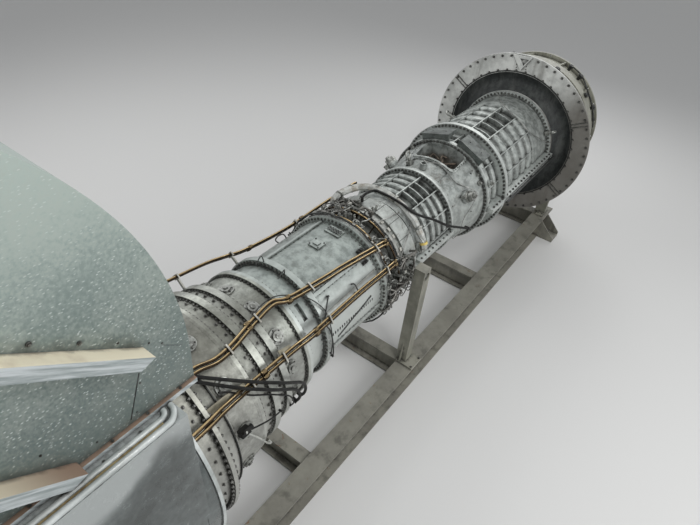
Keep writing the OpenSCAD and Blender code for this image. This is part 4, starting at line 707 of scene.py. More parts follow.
# Rings of bolts through the flange pairs
bothSides = (-1, 1)
flangeHalf = 0.028
ringColumns = ("x", "rim", "pitch", "size", "half", "sides")
boltRings = {
    "front": (station["front"], 0.640, 0.050, 0.0135, flangeHalf, bothSides),
    "mid": (station["mid"], 0.678, 0.047, 0.0135, flangeHalf, bothSides),
    "inter": (station["inter"], 0.611, 0.045, 0.013, flangeHalf, bothSides),
    "hpc": (station["hpc"], 0.518, 0.044, 0.012, flangeHalf, bothSides),
    "comb": (station["comb"], 0.568, 0.042, 0.012, flangeHalf, bothSides),
    "skirt": (station["skirt"], 0.568, 0.042, 0.0125, flangeHalf, bothSides),
    "turbA": (station["turbA"], 0.585, 0.037, 0.0125, flangeHalf, bothSides),
    "turbB": (station["turbB"], 0.627, 0.037, 0.0125, flangeHalf, bothSides),
    "turbC": (station["turbC"], 0.662, 0.037, 0.0125, flangeHalf, bothSides),
    "exit": (station["exit"], 0.683, 0.038, 0.0125, flangeHalf, bothSides),
    "burner": (station["burner"] - 0.081, 0.535, 0.045, 0.0105, 0.014, bothSides),
    "neck": (station["exitEnd"], 0.8375, 0.052, 0.0145, 0.015, bothSides),
    "ringOuter": (station["ring"], 1.092, 0.122, 0.015, 0.0, (-1,)),
    "ringInner": (station["ring"], 0.912, 0.128, 0.013, 0.0, (-1,)),
}


def makeBoltRing(name, settings):
    bm = bmesh.new()
    circleRadius = settings["rim"] - 1.7 * settings["size"]
    count = round(2 * math.pi * circleRadius / settings["pitch"])
    for side in settings["sides"]:
        place = Matrix.Translation((settings["x"] + side * settings["half"], 0, axisHeight + circleRadius))
        addBolt(bm, place @ Matrix.Rotation(side * math.pi / 2, 4, "Y"), settings["size"])
    spinCopies(bm, count)
    finishMetal("bolts_" + name, bm, "boltSteel")


for ringName, row in boltRings.items():
    makeBoltRing(ringName, dict(zip(ringColumns, row)))
print("flange bolts made")


# Rings of small studs that stand on the turbine casings
studRings = {
    "turbB": {"x": station["turbC"] + 0.092, "radius": 0.611, "count": 42, "size": 0.0085, "start": 4.0},
    "turbC": {"x": station["exit"] + 0.105, "radius": 0.642, "count": 40, "size": 0.0085, "start": 4.0},
    "turbCFront": {"x": station["turbC"] - 0.045, "radius": 0.637, "count": 28, "size": 0.007, "start": 4.0},
    "skirt": {"x": station["skirt"] - 0.05, "radius": 0.52, "count": 30, "size": 0.006, "start": 4.0},
    "neck": {"x": station["exitEnd"] - 0.074, "radius": 0.792, "count": 48, "size": 0.0075, "start": 0.6},
}


def makeStudRing(name, settings):
    bm = bmesh.new()
    place = standing(settings["x"], settings["start"], settings["radius"] - 0.004)
    addCylinder(bm, place, settings["size"] * 1.5, settings["size"] * 0.9, 12)
    addCylinder(bm, place, settings["size"] * 0.8, settings["size"] * 2.4, 8)
    spinCopies(bm, settings["count"])
    finishMetal("studs_" + name, bm, "boltSteel")


for ringName, settings in studRings.items():
    makeStudRing(ringName, settings)


# Turned bands: the neck behind the exit flange with its proud ring, and the seams round cone and seal
neckFinish = turbineMetal("hot_neck", {"floorRadius": 0.785, "rimRadius": 0.80})
bands = {
    "neck_sleeve": {"span": (-2.585, -2.434, 0.786, 0.792), "finish": neckFinish, "slot": "turbine_steel"},
    "neck_flange": {"span": (-2.441, -2.411, 0.792, 0.830), "finish": neckFinish, "slot": "turbine_steel"},
    "cone_seam": {"span": (-2.296, -2.289, 0.730, 0.7415), "finish": metals["railSteel"], "slot": "turbine_steel"},
    "hood_seam": {"span": (-2.7115, -2.7085, 0.878, 0.8808), "finish": metals["railSteel"], "slot": "hood_paint"},
    "seal_seam": {"span": (station["ring"] - 0.006, station["ring"], 0.868, 0.882), "finish": metals["railSteel"],
                  "slot": "ring_paint"},
}


def makeBand(name, settings, segments=144):
    bm = bmesh.new()
    low, high, inner, outer = settings["span"]
    corners = [bm.verts.new((x, 0, axisHeight + r)) for x, r in ((low, inner), (high, inner), (high, outer),
                                                                 (low, outer))]
    face = bm.faces.new(corners)
    bmesh.ops.spin(bm, geom=[face], cent=(0, 0, axisHeight), axis=(1, 0, 0), angle=2 * math.pi, steps=segments,
                   use_merge=True)
    bmesh.ops.delete(bm, geom=[face], context="FACES_ONLY")
    bmesh.ops.remove_doubles(bm, verts=bm.verts[:], dist=1e-5)
    bmesh.ops.recalc_face_normals(bm, faces=bm.faces[:])
    finishPiece(name, bm, settings["finish"])


for bandName, settings in bands.items():
    makeBand(bandName, settings)


# Bolts along the joint flanges on both sides of the compressor casings
splitJoints = {
    "lpc": {"from": station["mid"] + 0.07, "to": station["front"] - 0.07, "half": 0.668, "pitch": 0.085,
            "size": 0.013},
    "lpcRear": {"from": station["inter"] + 0.06, "to": station["mid"] - 0.06, "half": 0.668, "pitch": 0.075,
                "size": 0.013},
    "hpc": {"from": station["collar"] + 0.05, "to": station["hpc"] - 0.06, "half": 0.525, "pitch": 0.07,
            "size": 0.010},
}
splitHalfHeight = 0.028


def makeSplitBolts(name, settings):
    bm = bmesh.new()
    long = settings["to"] - settings["from"]
    count = round(long / settings["pitch"])
    for side in bothSides:
        for i in range(count + 1):
            for up in (1, -1):
                place = (settings["from"] + long * i / count, side * settings["half"],
                         axisHeight + up * splitHalfHeight)
                addBolt(bm, aimed(place, (0, 0, up)), settings["size"])
    finishMetal("bolts_split_" + name, bm, "boltSteel")


for jointName, settings in splitJoints.items():
    makeSplitBolts(jointName, settings)


# Nuts round the inspection bosses and on the knobs of their plugs
bosses = {
    "front": {"x": station["turbA"] - 0.19, "count": 13, "start": 16.0, "radius": 0.570},
    "rear": {"x": station["exit"] - 0.161, "count": 12, "start": 14.0, "radius": 0.700},
}
bossNuts = {"circle": 0.050, "count": 6, "size": 0.006, "groove": 0.038, "ring": 0.031, "plug": 0.017}


def makeBossNuts(name, settings):
    nuts, grooves, plugs = bmesh.new(), bmesh.new(), bmesh.new()
    centre = standing(settings["x"], settings["start"], settings["radius"])
    addBoltCircle(nuts, centre, bossNuts["circle"], bossNuts["count"], bossNuts["size"], first=0.5)
    addCylinder(grooves, centre, bossNuts["groove"], 0.0015, 32)
    addCylinder(plugs, centre, bossNuts["ring"], 0.009, 32)
    addCylinder(grooves, centre, bossNuts["ring"] * 0.8, 0.0102, 24)
    addCylinder(plugs, centre, bossNuts["plug"], 0.024, 24, bossNuts["plug"] * 0.85)
    addCylinder(grooves, centre, bossNuts["plug"] * 0.4, 0.0255, 12)
    for part, bm, metal in (("nuts", nuts, "boltSteel"), ("grooves", grooves, "railSteel"),
                            ("plugs", plugs, "fittingSteel")):
        spinCopies(bm, settings["count"])
        finishMetal("boss_" + part + "_" + name, bm, metal)


for bossName, settings in bosses.items():
    makeBossNuts(bossName, settings)
print("studs and nuts made")


# Fuel pigtails from both manifolds to every burner head, with their unions, and the heads' nuts
burners = {"count": 16, "start": 11.25, "headX": station["comb"] + 0.125, "headRadius": 0.515,
           "frontX": station["comb"] + 0.215, "rearX": station["comb"] + 0.062, "ringRadius": 0.545,
           "tube": 0.0055, "union": 0.010, "nut": 0.007, "nutHalf": 0.022, "nutTurn": 3.4}


def makePigtails():
    bm = bmesh.new()
    angle, head, rise, ring = (burners[key] for key in ("start", "headX", "headRadius", "ringRadius"))
    for x, away in ((burners["frontX"], 1), (burners["rearX"], -1)):
        addEngineTube(bm, [(x, angle + 3 * away, ring + 0.006), (x, angle + 4 * away, ring + 0.03),
                           ((x + head) / 2, angle + 3.4 * away, rise + 0.062),
                           (head + 0.012 * away, angle + away, rise + 0.045),
                           (head + 0.01 * away, angle, rise + 0.012)], burners["tube"])
        addCylinder(bm, standing(x, angle + 3 * away, ring), burners["union"], 0.022, 6)
        addCylinder(bm, standing(head + 0.01 * away, angle, rise), burners["union"], 0.020, 6)
    spinCopies(bm, burners["count"])
    finishMetal("fuel_pigtails", bm, "fittingSteel")


def makeBlockNuts():
    bm = bmesh.new()
    for side in bothSides:
        for turn in (-burners["nutTurn"], burners["nutTurn"]):
            addBolt(bm, standing(burners["headX"] + side * burners["nutHalf"], burners["start"] + turn,
                                 burners["headRadius"] - 0.001), burners["nut"])
    spinCopies(bm, burners["count"])
    finishMetal("burner_block_nuts", bm, "boltSteel")


makePigtails()
makeBlockNuts()


# Thin tubes that run round the burner section, with clips
ringTubes = {
    "points": 72, "clips": 24, "clip": (0.034, 0.012, 0.03),
    "tubes": [(station["burner"] - 0.125, 0.555, 0.0065), (station["burner"] - 0.143, 0.552, 0.005),
              (station["comb"] + 0.005, 0.588, 0.008)],     # station, radius and thickness
}


def makeRingTubes():
    bm = bmesh.new()
    for x, radius, tube in ringTubes["tubes"]:
        addTube(bm, [onEngine(x + 0.004 * math.sin(5 * k), 360 * k / ringTubes["points"],
                              radius + 0.003 * math.sin(3 * k)) for k in range(ringTubes["points"] + 1)], tube)
    for k in range(ringTubes["clips"]):
        addBlock(bm, standing(station["burner"] - 0.134, 7 + 15 * k, 0.532), ringTubes["clip"])
    finishMetal("ring_tubes", bm, "railSteel")


makeRingTubes()


# Small plates and clips in rows round the burner section, with dark gaps between them
plateRows = {"count": 44, "seed": 41, "share": 0.75,
             "rows": [(station["burner"] - 0.045, 0.531, 0.040, 0.040), (station["comb"] + 0.045, 0.545, 0.030, 0.036),
                      (station["burner"] - 0.112, 0.536, 0.028, 0.022)]}     # station, radius, length and width


def makePlateRows():
    pick = random.Random(plateRows["seed"])
    bm = bmesh.new()
    for x, radius, long, wide in plateRows["rows"]:
        for k in range(plateRows["count"]):
            if pick.random() < plateRows["share"]:
                place = standing(x + pick.uniform(-0.006, 0.006),
                                 360 * (k + pick.uniform(-0.15, 0.15)) / plateRows["count"], radius)
                addBlock(bm, place, (long * pick.uniform(0.6, 1.0), wide * pick.uniform(0.6, 1.0),
                                     pick.uniform(0.004, 0.02)))
    finishMetal("burner_plates", bm, "clampPaint")


makePlateRows()


# Clutter of small lines and valve bodies over the burner section, thickest at its far top and near side
clutter = {
    "top": {"seed": 11, "tubes": 17, "blocks": 46, "x": (station["comb"] + 0.01, station["burner"] + 0.06),
            "angle": (-42.0, 12.0), "radius": (0.53, 0.60)},
    "side": {"seed": 5, "tubes": 20, "blocks": 60, "x": (station["comb"] - 0.03, station["burner"] + 0.10),
             "angle": (66.0, 112.0), "radius": (0.54, 0.615)},
    "farSide": {"seed": 8, "tubes": 12, "blocks": 26, "x": (station["comb"] + 0.02, station["burner"] + 0.08),
                "angle": (-112.0, -66.0), "radius": (0.54, 0.60)},
    "under": {"seed": 3, "tubes": 12, "blocks": 22, "x": (station["comb"] + 0.03, station["burner"] + 0.05),
              "angle": (135.0, 225.0), "radius": (0.53, 0.59)},
}


def makeClutter(name, settings):
    pick = random.Random(settings["seed"])
    low, high = settings["radius"]
    tubes, blocks = bmesh.new(), bmesh.new()

    def somewhere(x, angle, spread):
        return (min(max(x + pick.uniform(-0.07, 0.07) * spread, settings["x"][0]), settings["x"][1]),
                min(max(angle + pick.uniform(-12, 12) * spread, settings["angle"][0]), settings["angle"][1]),
                pick.uniform(low, high))

    for _ in range(settings["tubes"]):
        x, angle = pick.uniform(*settings["x"]), pick.uniform(*settings["angle"])
        route = [(x, angle, low - 0.03), (x, angle, low + 0.01)]
        route += [somewhere(x, angle, spread) for spread in (1.0, 1.6, 2.0)]
        route.append((*route[-1][:2], low - 0.03))
        addEngineTube(tubes, route, pick.choice((0.0045, 0.006, 0.008, 0.011)), 7, 5)
    for _ in range(settings["blocks"]):
        place = standing(pick.uniform(*settings["x"]), pick.uniform(*settings["angle"]), low - 0.03)
        place = place @ Matrix.Rotation(pick.uniform(0, math.pi), 4, "Z")
        tall = pick.uniform(0.03, 0.085)
        addBlock(blocks, place, (pick.uniform(0.012, 0.04), pick.uniform(0.012, 0.026), tall))
        addCylinder(blocks, shifted(place, z=tall), pick.uniform(0.005, 0.011), 0.014, 6)
    finishMetal("lines_" + name, tubes, "clutterSteel")
    finishMetal("valves_" + name, blocks, "fittingSteel")


for clutterName, settings in clutter.items():
    makeClutter(clutterName, settings)
print("burner fittings made")


# Wires and cables laid over the casings: metal, thickness, then station, angle from the top and radius
wires = {
    "cableRear": ("cableBlack", 0.013, [
        (0.13, -9, 0.58), (0.170, -8, 0.60), (0.217, -7.7, 0.60), (0.283, -4.5, 0.60), (0.296, 4.8, 0.60),
        (0.33, 21.3, 0.60), (0.393, 37.5, 0.60), (0.586, 53, 0.60), (0.809, 69.5, 0.60), (1.146, 86.6, 0.64)]),
    "wireFront": ("wireSteel", 0.0045, [
        (3.40, -22, 0.655), (3.30, -15, 0.622), (3.10, -3, 0.62), (2.97, 12, 0.62), (2.95, 26, 0.62),
        (2.98, 44, 0.62), (3.15, 58, 0.62), (3.36, 70, 0.63), (3.45, 74, 0.66)]),
    "wireMiddle": ("wireSteel", 0.004, [
        (1.16, -2, 0.58), (1.20, 4, 0.56), (1.30, 10, 0.54), (1.27, 24, 0.535), (1.285, 39, 0.53),
        (1.38, 50, 0.545), (1.43, 58, 0.60), (1.42, 61, 0.62)]),
    "wireSide": ("wireSteel", 0.004, [
        (1.33, 60, 0.67), (1.28, 66, 0.63), (1.22, 78, 0.56), (1.18, 88, 0.55), (1.16, 97, 0.56), (1.1, 104, 0.54)]),
    "loopSkirt": ("railSteel", 0.0045, [
        (-1.66, 22, 0.66), (-1.52, 20, 0.63), (-1.40, 21, 0.62), (-1.28, 27, 0.60), (-1.18, 36, 0.60),
        (-1.10, 50, 0.585), (-1.10, 62, 0.585), (-1.12, 75, 0.59), (-1.16, 88, 0.60)]),
    "lineSkirt": ("railSteel", 0.006, [
        (-0.96, 46, 0.535), (-1.05, 50, 0.575), (-1.12, 54, 0.60), (-1.16, 60, 0.60), (-1.13, 68, 0.595),
        (-1.12, 84, 0.59), (-1.10, 98, 0.585)]),
    "cableHoodA": ("cableBlack", 0.012, [
        (-2.47, 23, 0.80), (-2.384, 28.2, 0.82), (-2.245, 36.9, 0.80), (-2.084, 46.9, 0.78), (-1.965, 54.1, 0.78),
        (-1.831, 62.0, 0.765), (-1.702, 70.6, 0.715), (-1.60, 79.0, 0.675), (-1.53, 90, 0.645),
        (-1.50, 102, 0.628), (-1.49, 110, 0.61)]),
    "cableHoodB": ("cableBlack", 0.012, [
        (-2.48, 24, 0.80), (-2.412, 28.8, 0.82), (-2.269, 38.5, 0.785), (-2.111, 49.6, 0.78), (-1.989, 57.0, 0.78),
        (-1.814, 68.2, 0.73), (-1.70, 76.5, 0.695), (-1.63, 86, 0.665), (-1.59, 97, 0.645), (-1.58, 106, 0.62)]),
    "cableHoodC": ("cableBlack", 0.006, [
        (-2.25, 44, 0.765), (-2.19, 47.3, 0.765), (-2.073, 55.9, 0.74), (-1.906, 66.0, 0.725), (-1.75, 79.0, 0.685),
        (-1.69, 91, 0.665), (-1.67, 100, 0.63)]),
    "cableCone": ("cablePale", 0.007, [
        (-2.229, 68.7, 0.775), (-2.19, 73.5, 0.765), (-2.13, 81, 0.75), (-2.045, 93.4, 0.74), (-1.98, 102, 0.72)]),
    "cableConeDark": ("cableBlack", 0.006, [
        (-2.235, 68.0, 0.775), (-2.12, 72, 0.765), (-2.0, 76.0, 0.75), (-1.88, 80, 0.72)]),
    "acrossBurner": ("wireSteel", 0.0045, [
        (-0.06, 18, 0.55), (0.02, 22, 0.56), (0.12, 24, 0.545), (0.22, 25, 0.54), (0.30, 26, 0.53)]),
    "acrossBurnerLow": ("wireSteel", 0.0045, [
        (-0.02, 62, 0.56), (0.06, 58, 0.55), (0.16, 53, 0.54), (0.27, 47, 0.54), (0.33, 44, 0.52)]),
}


def makeWire(name, metal, tube, route):
    bm = bmesh.new()
    addEngineTube(bm, route, tube, 8, 8)
    for x, angle, radius in (route[0], route[-1]):
        addCylinder(bm, standing(x, angle, radius - 3.0 * tube), tube * 1.5, tube * 4.0, 8)
    finishMetal("wire_" + name, bm, metal)


for wireName, settings in wires.items():
    makeWire(wireName, *settings)


# Lifting eyes: a plate with a ring on a flange's rim
liftingEyes = {
    "rear": {"x": station["hpc"] + 0.17, "angle": -23.6, "foot": 0.485, "ring": 0.036, "wire": 0.011},
    "front": {"x": 2.86, "angle": -60.0, "foot": 0.60, "ring": 0.036, "wire": 0.012},
    "nose": {"x": station["front"] - 0.05, "angle": 62.0, "foot": 0.60, "ring": 0.032, "wire": 0.010},
}


def makeLiftingEyes(points=24):
    bm = bmesh.new()
    for settings in liftingEyes.values():
        place = standing(settings["x"], settings["angle"], settings["foot"])
        addBlock(bm, place, (0.07, 0.05, 0.045))
        addCylinder(bm, place, 0.018, 0.075, 12)
        ring = settings["ring"]
        addTube(bm, [place @ Vector((ring * math.cos(turn), 0, 0.07 + ring * (1 + math.sin(turn))))
                     for turn in [2 * math.pi * k / points for k in range(points + 1)]], settings["wire"], 10)
    finishMetal("lifting_eyes", bm, "fittingSteel")


makeLiftingEyes()


# Fittings on the combustor casing: handles bent from rod, taps, cover studs, hooks and rows of holes
combustorFittings = {
    "handles": [(-0.67, 52, 60.5), (-0.62, -58, -44)],          # station, first and second angle
    "taps": [(-0.422, 43.6), (-0.399, 32.1), (-0.44, -60.0)],   # station and angle
    "hooks": [(station["skirt"] - 0.02, -14), (station["skirt"] - 0.03, 9)],
    "coverStuds": {"x": (-0.698, -0.612), "turns": (-3.7, 5.7), "size": 0.008},
    "slats": {"x": -0.41, "half": 0.014, "angle": 1.0, "holes": 5, "pitch": 0.028, "hole": 0.0105},
    "holeRow": [(-0.492, 76.9), (-0.751, 83.4), (-0.972, 90.7)], "holes": 11, "hole": 0.0115,
    "strip": {"x": -1.05, "long": 0.71, "angle": 58.0, "turn": 2.1, "pieces": 24},
    "surface": 0.52, "rod": 0.006, "rise": 0.045,
}


def makeCombustorFittings(settings):
    bm = bmesh.new()
    surface, high = settings["surface"], settings["surface"] + settings["rise"]
    for x, first, second in settings["handles"]:
        addEngineTube(bm, [(x, first, surface - 0.01), (x - 0.01, first, high), (x - 0.01, second, high),
                           (x, second, surface - 0.01)], settings["rod"], 8, 7)
    for x, angle in settings["taps"]:
        place = standing(x, angle, surface)
        addBlock(bm, place, (0.07, 0.032, 0.010))
        for shift in (-0.024, 0.024):
            addCylinder(bm, shifted(place, shift, z=0.008), 0.009, 0.018, 6)
        addCylinder(bm, shifted(place, z=0.008), 0.008, 0.028, 12)
    studs, slats, strip = settings["coverStuds"], settings["slats"], settings["strip"]
    for x in studs["x"]:
        for turn in studs["turns"]:
            addBolt(bm, standing(x, turn, surface + 0.013), studs["size"])
    for side in bothSides:
        x = slats["x"] + side * slats["half"]
        addBlock(bm, standing(x, slats["angle"], surface + 0.009), (0.018, 0.14, 0.004))
        for i in range(slats["holes"]):
            addCylinder(bm, shifted(standing(x, slats["angle"], surface + 0.0205), y=slats["pitch"] * (i - 2)),
                        slats["hole"], 0.001, 16)
    for x, angle in settings["hooks"]:
        addEngineTube(bm, [(x, angle, 0.56), (x - 0.01, angle, 0.62), (x - 0.05, angle + 1, 0.625),
                           (x - 0.10, angle + 2, 0.60)], 0.005, 8, 6)
    for (x1, turn1), (x2, turn2) in zip(settings["holeRow"], settings["holeRow"][1:]):
        for i in range(settings["holes"]):
            part = i / settings["holes"]
            addCylinder(bm, standing(x1 + (x2 - x1) * part, turn1 + (turn2 - turn1) * part, surface - 0.001),
                        settings["hole"], 0.0035, 12)
    finishMetal("combustor_fittings", bm, "railSteel")
    bm = bmesh.new()
    for i in range(strip["pieces"]):
        part = (i + 0.5) / strip["pieces"]
        addBlock(bm, standing(strip["x"] + strip["long"] * part, strip["angle"] - strip["turn"] * part,
                              surface - 0.001), (0.0305, 0.016, 0.004))
    finishMetal("combustor_strip", bm, "cablePale")


makeCombustorFittings(combustorFittings)


# Rows of screws along the combustor's covers, and one row round its front
panelScrews = {"angles": (-24.5, -19.5, 35.5, 40.5, 95.0, -84.0), "pitch": 0.055, "size": 0.005, "round": 64,
               "roundSize": 0.0055, "margin": 0.06, "radius": 0.5195}


def makePanelScrews(settings):
    bm = bmesh.new()
    start, end = station["skirt"] + settings["margin"], station["comb"] - settings["margin"]
    count = round((end - start) / settings["pitch"])
    for angle in settings["angles"]:
        for i in range(count + 1):
            addCylinder(bm, standing(start + (end - start) * i / count, angle, settings["radius"]),
                        settings["size"], 0.004, 8)
    for k in range(settings["round"]):
        addCylinder(bm, standing(station["comb"] - 0.055, 360 * k / settings["round"], settings["radius"]),
                    settings["roundSize"], 0.005, 8)
    finishMetal("panel_screws", bm, "boltSteel")


makePanelScrews(panelScrews)


# Fittings of the actuators on the intermediate casing, and bosses beside the middle casing's joint
actuators = {
    "angles": (60.0, -60.0), "x": station["inter"] - 0.345, "radius": 0.56, "circle": 0.052 * 1.08, "bolt": 0.006,
    "elbow": [(0.05, 0, 0.05), (0.085, 0, 0.05), (0.10, 0.01, 0.03), (0.105, 0.02, -0.03)], "tube": 0.008,
    "bolts": [(-0.605, 39.7), (-0.597, 45.2), (-0.107, 39.6), (-0.063, 46.8), (-0.59, 60.0), (-0.30, 80.0)],
    "boltSize": 0.010, "casingFoot": 0.49, "casingTaper": 0.11 / 0.645,
    "bosses": [(1.725, 62.0, 0.640), (1.60, 56.0, 0.565), (1.60, -44.0, 0.565)],
}


def makeActuatorFittings(settings):
    bm = bmesh.new()
    for angle in settings["angles"]:
        centre = standing(settings["x"], angle, settings["radius"])
        addBoltCircle(bm, centre, settings["circle"], 8, settings["bolt"], lift=0.022)
        addTube(bm, [centre @ Vector(point) for point in settings["elbow"]], settings["tube"], 8)
        addBlock(bm, shifted(centre, 0.075, 0.0, 0.035), (0.03, 0.035, 0.03))
        addBlock(bm, shifted(centre, -0.08, 0.03, -0.02), (0.05, 0.03, 0.05))
    for back, angle in settings["bolts"]:
        x = station["inter"] + back
        radius = settings["casingFoot"] + settings["casingTaper"] * (x - station["hpc"])
        addBolt(bm, standing(x, angle, radius), settings["boltSize"])
    for x, angle, radius in settings["bosses"]:
        place = standing(x, angle, radius - 0.002)
        addCylinder(bm, place, 0.024, 0.02, 20)
        addCylinder(bm, place, 0.014, 0.042, 6)
    finishMetal("actuator_fittings", bm, "fittingSteel")


makeActuatorFittings(actuators)


# Inside the well: flanged stubs, links and hoses under a crust of dirt, and the screws of its lip
well = {"x": (station["inter"] - 0.31, station["inter"] - 0.05), "halfWidth": 0.21, "floor": axisHeight + 0.337,
        "seed": 21, "stubs": 9, "hoses": 8, "links": (-0.12, 0.03, 0.15), "lipHalf": 0.252, "lipRadius": 0.545,
        "lipScrews": 9, "lipLong": 0.29, "lipFoot": 0.5175, "lipTaper": 0.1528, "screw": 0.007}


def makeWellInsides():
    pick = random.Random(well["seed"])
    floor = well["floor"]
    bm = bmesh.new()
    for _ in range(well["stubs"]):
        x, y = pick.uniform(*well["x"]), pick.uniform(-well["halfWidth"], well["halfWidth"]) * 0.85
        wide = pick.uniform(0.016, 0.04)
        place = Matrix.Translation((x, y, floor))
        addCylinder(bm, place, wide, pick.uniform(0.03, 0.10), 16)
        addCylinder(bm, place, wide * 1.4, 0.014, 16)
    for _ in range(well["hoses"]):
        points = [(pick.uniform(*well["x"]), pick.uniform(-1, 1) * well["halfWidth"] * 0.9,
                   floor + pick.uniform(0.01, 0.11)) for _ in range(4)]
        addTube(bm, smoothRoute(points), pick.choice((0.006, 0.009, 0.012)), 8)
    for y in well["links"]:
        addBlock(bm, Matrix.Translation((well["x"][0] + 0.13, y, floor)), (0.24, 0.014, 0.05))
    finishMetal("well_insides", bm, "soot")
    bm = bmesh.new()
    for i in range(well["lipScrews"]):
        x = well["x"][0] - 0.03 + well["lipLong"] * i / (well["lipScrews"] - 1)
        for side in bothSides:
            angle = -side * math.degrees(math.asin(well["lipHalf"] / well["lipRadius"]))
            rise = well["lipTaper"] * (x - station["hpc"] - flangeHalf)
            addBolt(bm, standing(x, angle, well["lipFoot"] + rise), well["screw"])
    finishMetal("well_lip_screws", bm, "boltSteel")


makeWellInsides()
print("casing fittings made")


# The oil pipes swept smooth along their routes, on to the collector's front disc
pipePairs = {
    "top": [(-0.16, 39, 0.597), (-0.70, 33, 0.610), (-0.96, 31, 0.625), (-1.36, 27, 0.655), (-1.49, 23, 0.665),
            (-1.70, 25, 0.690), (-1.96, 29, 0.725), (-2.13, 30, 0.750), (-2.30, 28, 0.815), (-2.42, 28, 0.838),
            (-2.603, 28, 0.845)],
    "side": [(-0.16, 59, 0.597), (-0.70, 57, 0.610), (-1.23, 56, 0.640), (-1.41, 55, 0.660), (-1.60, 53, 0.690),
             (-2.04, 51, 0.735), (-2.30, 49, 0.815), (-2.42, 49, 0.838), (-2.603, 49.2, 0.845)],
    "far": [(0.73, -70, 0.553), (0.73, -69.5, 0.570), (0.705, -67.5, 0.600), (0.65, -65, 0.615),
            (0.11, -64.5, 0.613), (-0.40, -64.7, 0.608), (-0.94, -59.8, 0.636), (-1.19, -54.7, 0.674),
            (-1.42, -50.7, 0.711), (-1.87, -46.6, 0.757), (-2.30, -44, 0.815), (-2.42, -44, 0.838),
            (-2.603, -44, 0.845)],
}
oilPipe = {"radius": 0.013, "pitch": 0.031, "unionPitch": 0.036}


def makePipePair(name, route):
    bm = bmesh.new()
    for i in (0, 1):
        addEngineTube(bm, [(x, angle + i * math.degrees(oilPipe["pitch"] / radius), radius)
                           for x, angle, radius in route], oilPipe["radius"], 16, 8)
    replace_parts(finishPiece("oil_pipes_" + name, bm, metals["oxidisedPipe"]), "pipe_pair_" + name)


for pairName, route in pipePairs.items():
    makePipePair(pairName, route)


# Flat carrier strips beside the near pipes, and the connector block on the exit cone
carriers = {
    "strips": [[(-2.395, 47.6, 0.775), (-2.32, 47.9, 0.768), (-2.23, 48.4, 0.758), (-2.15, 49.1, 0.752),
                (-2.074, 49.9, 0.745)], [(-1.714, 50.2, 0.70), (-1.592, 52.3, 0.685)]],
    "halfWidth": 0.023, "thickness": 0.004, "block": (-2.229, 68.7, 0.735),
}


def makeCarriers(settings):
    bm = bmesh.new()
    thick = settings["thickness"]
    for places in settings["strips"]:
        last = None
        for x, angle, radius in smoothRoute(places, 6):
            half = math.degrees(settings["halfWidth"] / radius)
            row = [bm.verts.new(onEngine(x, angle + side * half, radius + lift)) for side, lift in
                   ((-1, 0.0), (1, 0.0), (1, thick), (-1, thick))]
            if last:
                addWall(bm, last, row)
            else:
                bm.faces.new(row)
            last = row
        bm.faces.new(last[::-1])
    bmesh.ops.recalc_face_normals(bm, faces=bm.faces[:])
    finishMetal("pipe_carriers", bm, "carrierPaint")
    bm = bmesh.new()
    place = standing(*settings["block"])
    addBlock(bm, place, (0.075, 0.05, 0.045))
    addCylinder(bm, shifted(place, z=0.03) @ Matrix.Rotation(math.pi / 2, 4, "Y"), 0.016, 0.065, 12)
    addCylinder(bm, shifted(place, -0.02, 0.01, 0.045), 0.012, 0.012, 12)
    finishMetal("cone_connector", bm, "cableBlack")


makeCarriers(carriers)


# Unions of the oil pipes
pipeUnions = [(-0.16, 39, 0.597), (-0.16, 59, 0.597), (-1.36, 27, 0.655), (-1.78, 25.5, 0.70),
              (-1.30, 56, 0.645), (-1.90, 51.5, 0.73), (-0.90, -60.6, 0.632), (-0.20, -64.7, 0.61)]


def makePipeUnions():
    bm = bmesh.new()
    for x, angle, radius in pipeUnions:
        for step in (0.0, math.degrees(oilPipe["unionPitch"] / radius)):
            place = onEngine(x, angle + step, radius)
            addCylinder(bm, aimed(place - Vector((0.014, 0, 0)), (1, 0, 0)), 0.019, 0.028, 6)
            addCylinder(bm, aimed(place - Vector((0.024, 0, 0)), (1, 0, 0)), 0.016, 0.048, 12)
    finishMetal("pipe_unions", bm, "oxidisedPipe")


makePipeUnions()


# Bands, tag and end flange of the bleed pipe
bleedBands = {
    "along": [(0.10, -33.2, 0.605, (1, 0.25, 0.0)), (0.25, -30.0, 0.600, (1, 0.35, -0.2))],
    "x": 0.375, "angles": (-8.0, 14.0, 50.0), "radius": 0.559, "band": 0.0395, "tagAngle": 67.0, "tagRadius": 0.556,
    "endAngle": 73.0, "endRadius": 0.520, "endCircle": 0.044,
}


def makeBleedBands(settings):
    steel, tag = bmesh.new(), bmesh.new()
    band, x = settings["band"], settings["x"]
    for back, angle, radius, heading in settings["along"]:
        addCylinder(steel, aimed(onEngine(back, angle, radius), heading), band, 0.022, 24)

    def addAround(bm, angle, radius, thick, wide):
        turn = math.radians(angle)
        around = Vector((0, -math.cos(turn), -math.sin(turn)))
        addCylinder(bm, aimed(onEngine(x, angle, radius) - around * wide / 2, around), thick, wide, 24)

    for angle in settings["angles"]:
        addAround(steel, angle, settings["radius"], band, 0.02)
    addAround(tag, settings["tagAngle"], settings["tagRadius"], band - 0.001, 0.024)
    end = standing(x, settings["endAngle"], settings["endRadius"])
    addCylinder(steel, end, 0.052, 0.012, 24)
    addBoltCircle(steel, end, settings["endCircle"], 6, 0.006, lift=0.012)
    finishMetal("bleed_bands", steel, "fittingSteel")
    finishMetal("bleed_tag", tag, "yellowTape")


makeBleedBands(bleedBands)
print("pipe fittings made")


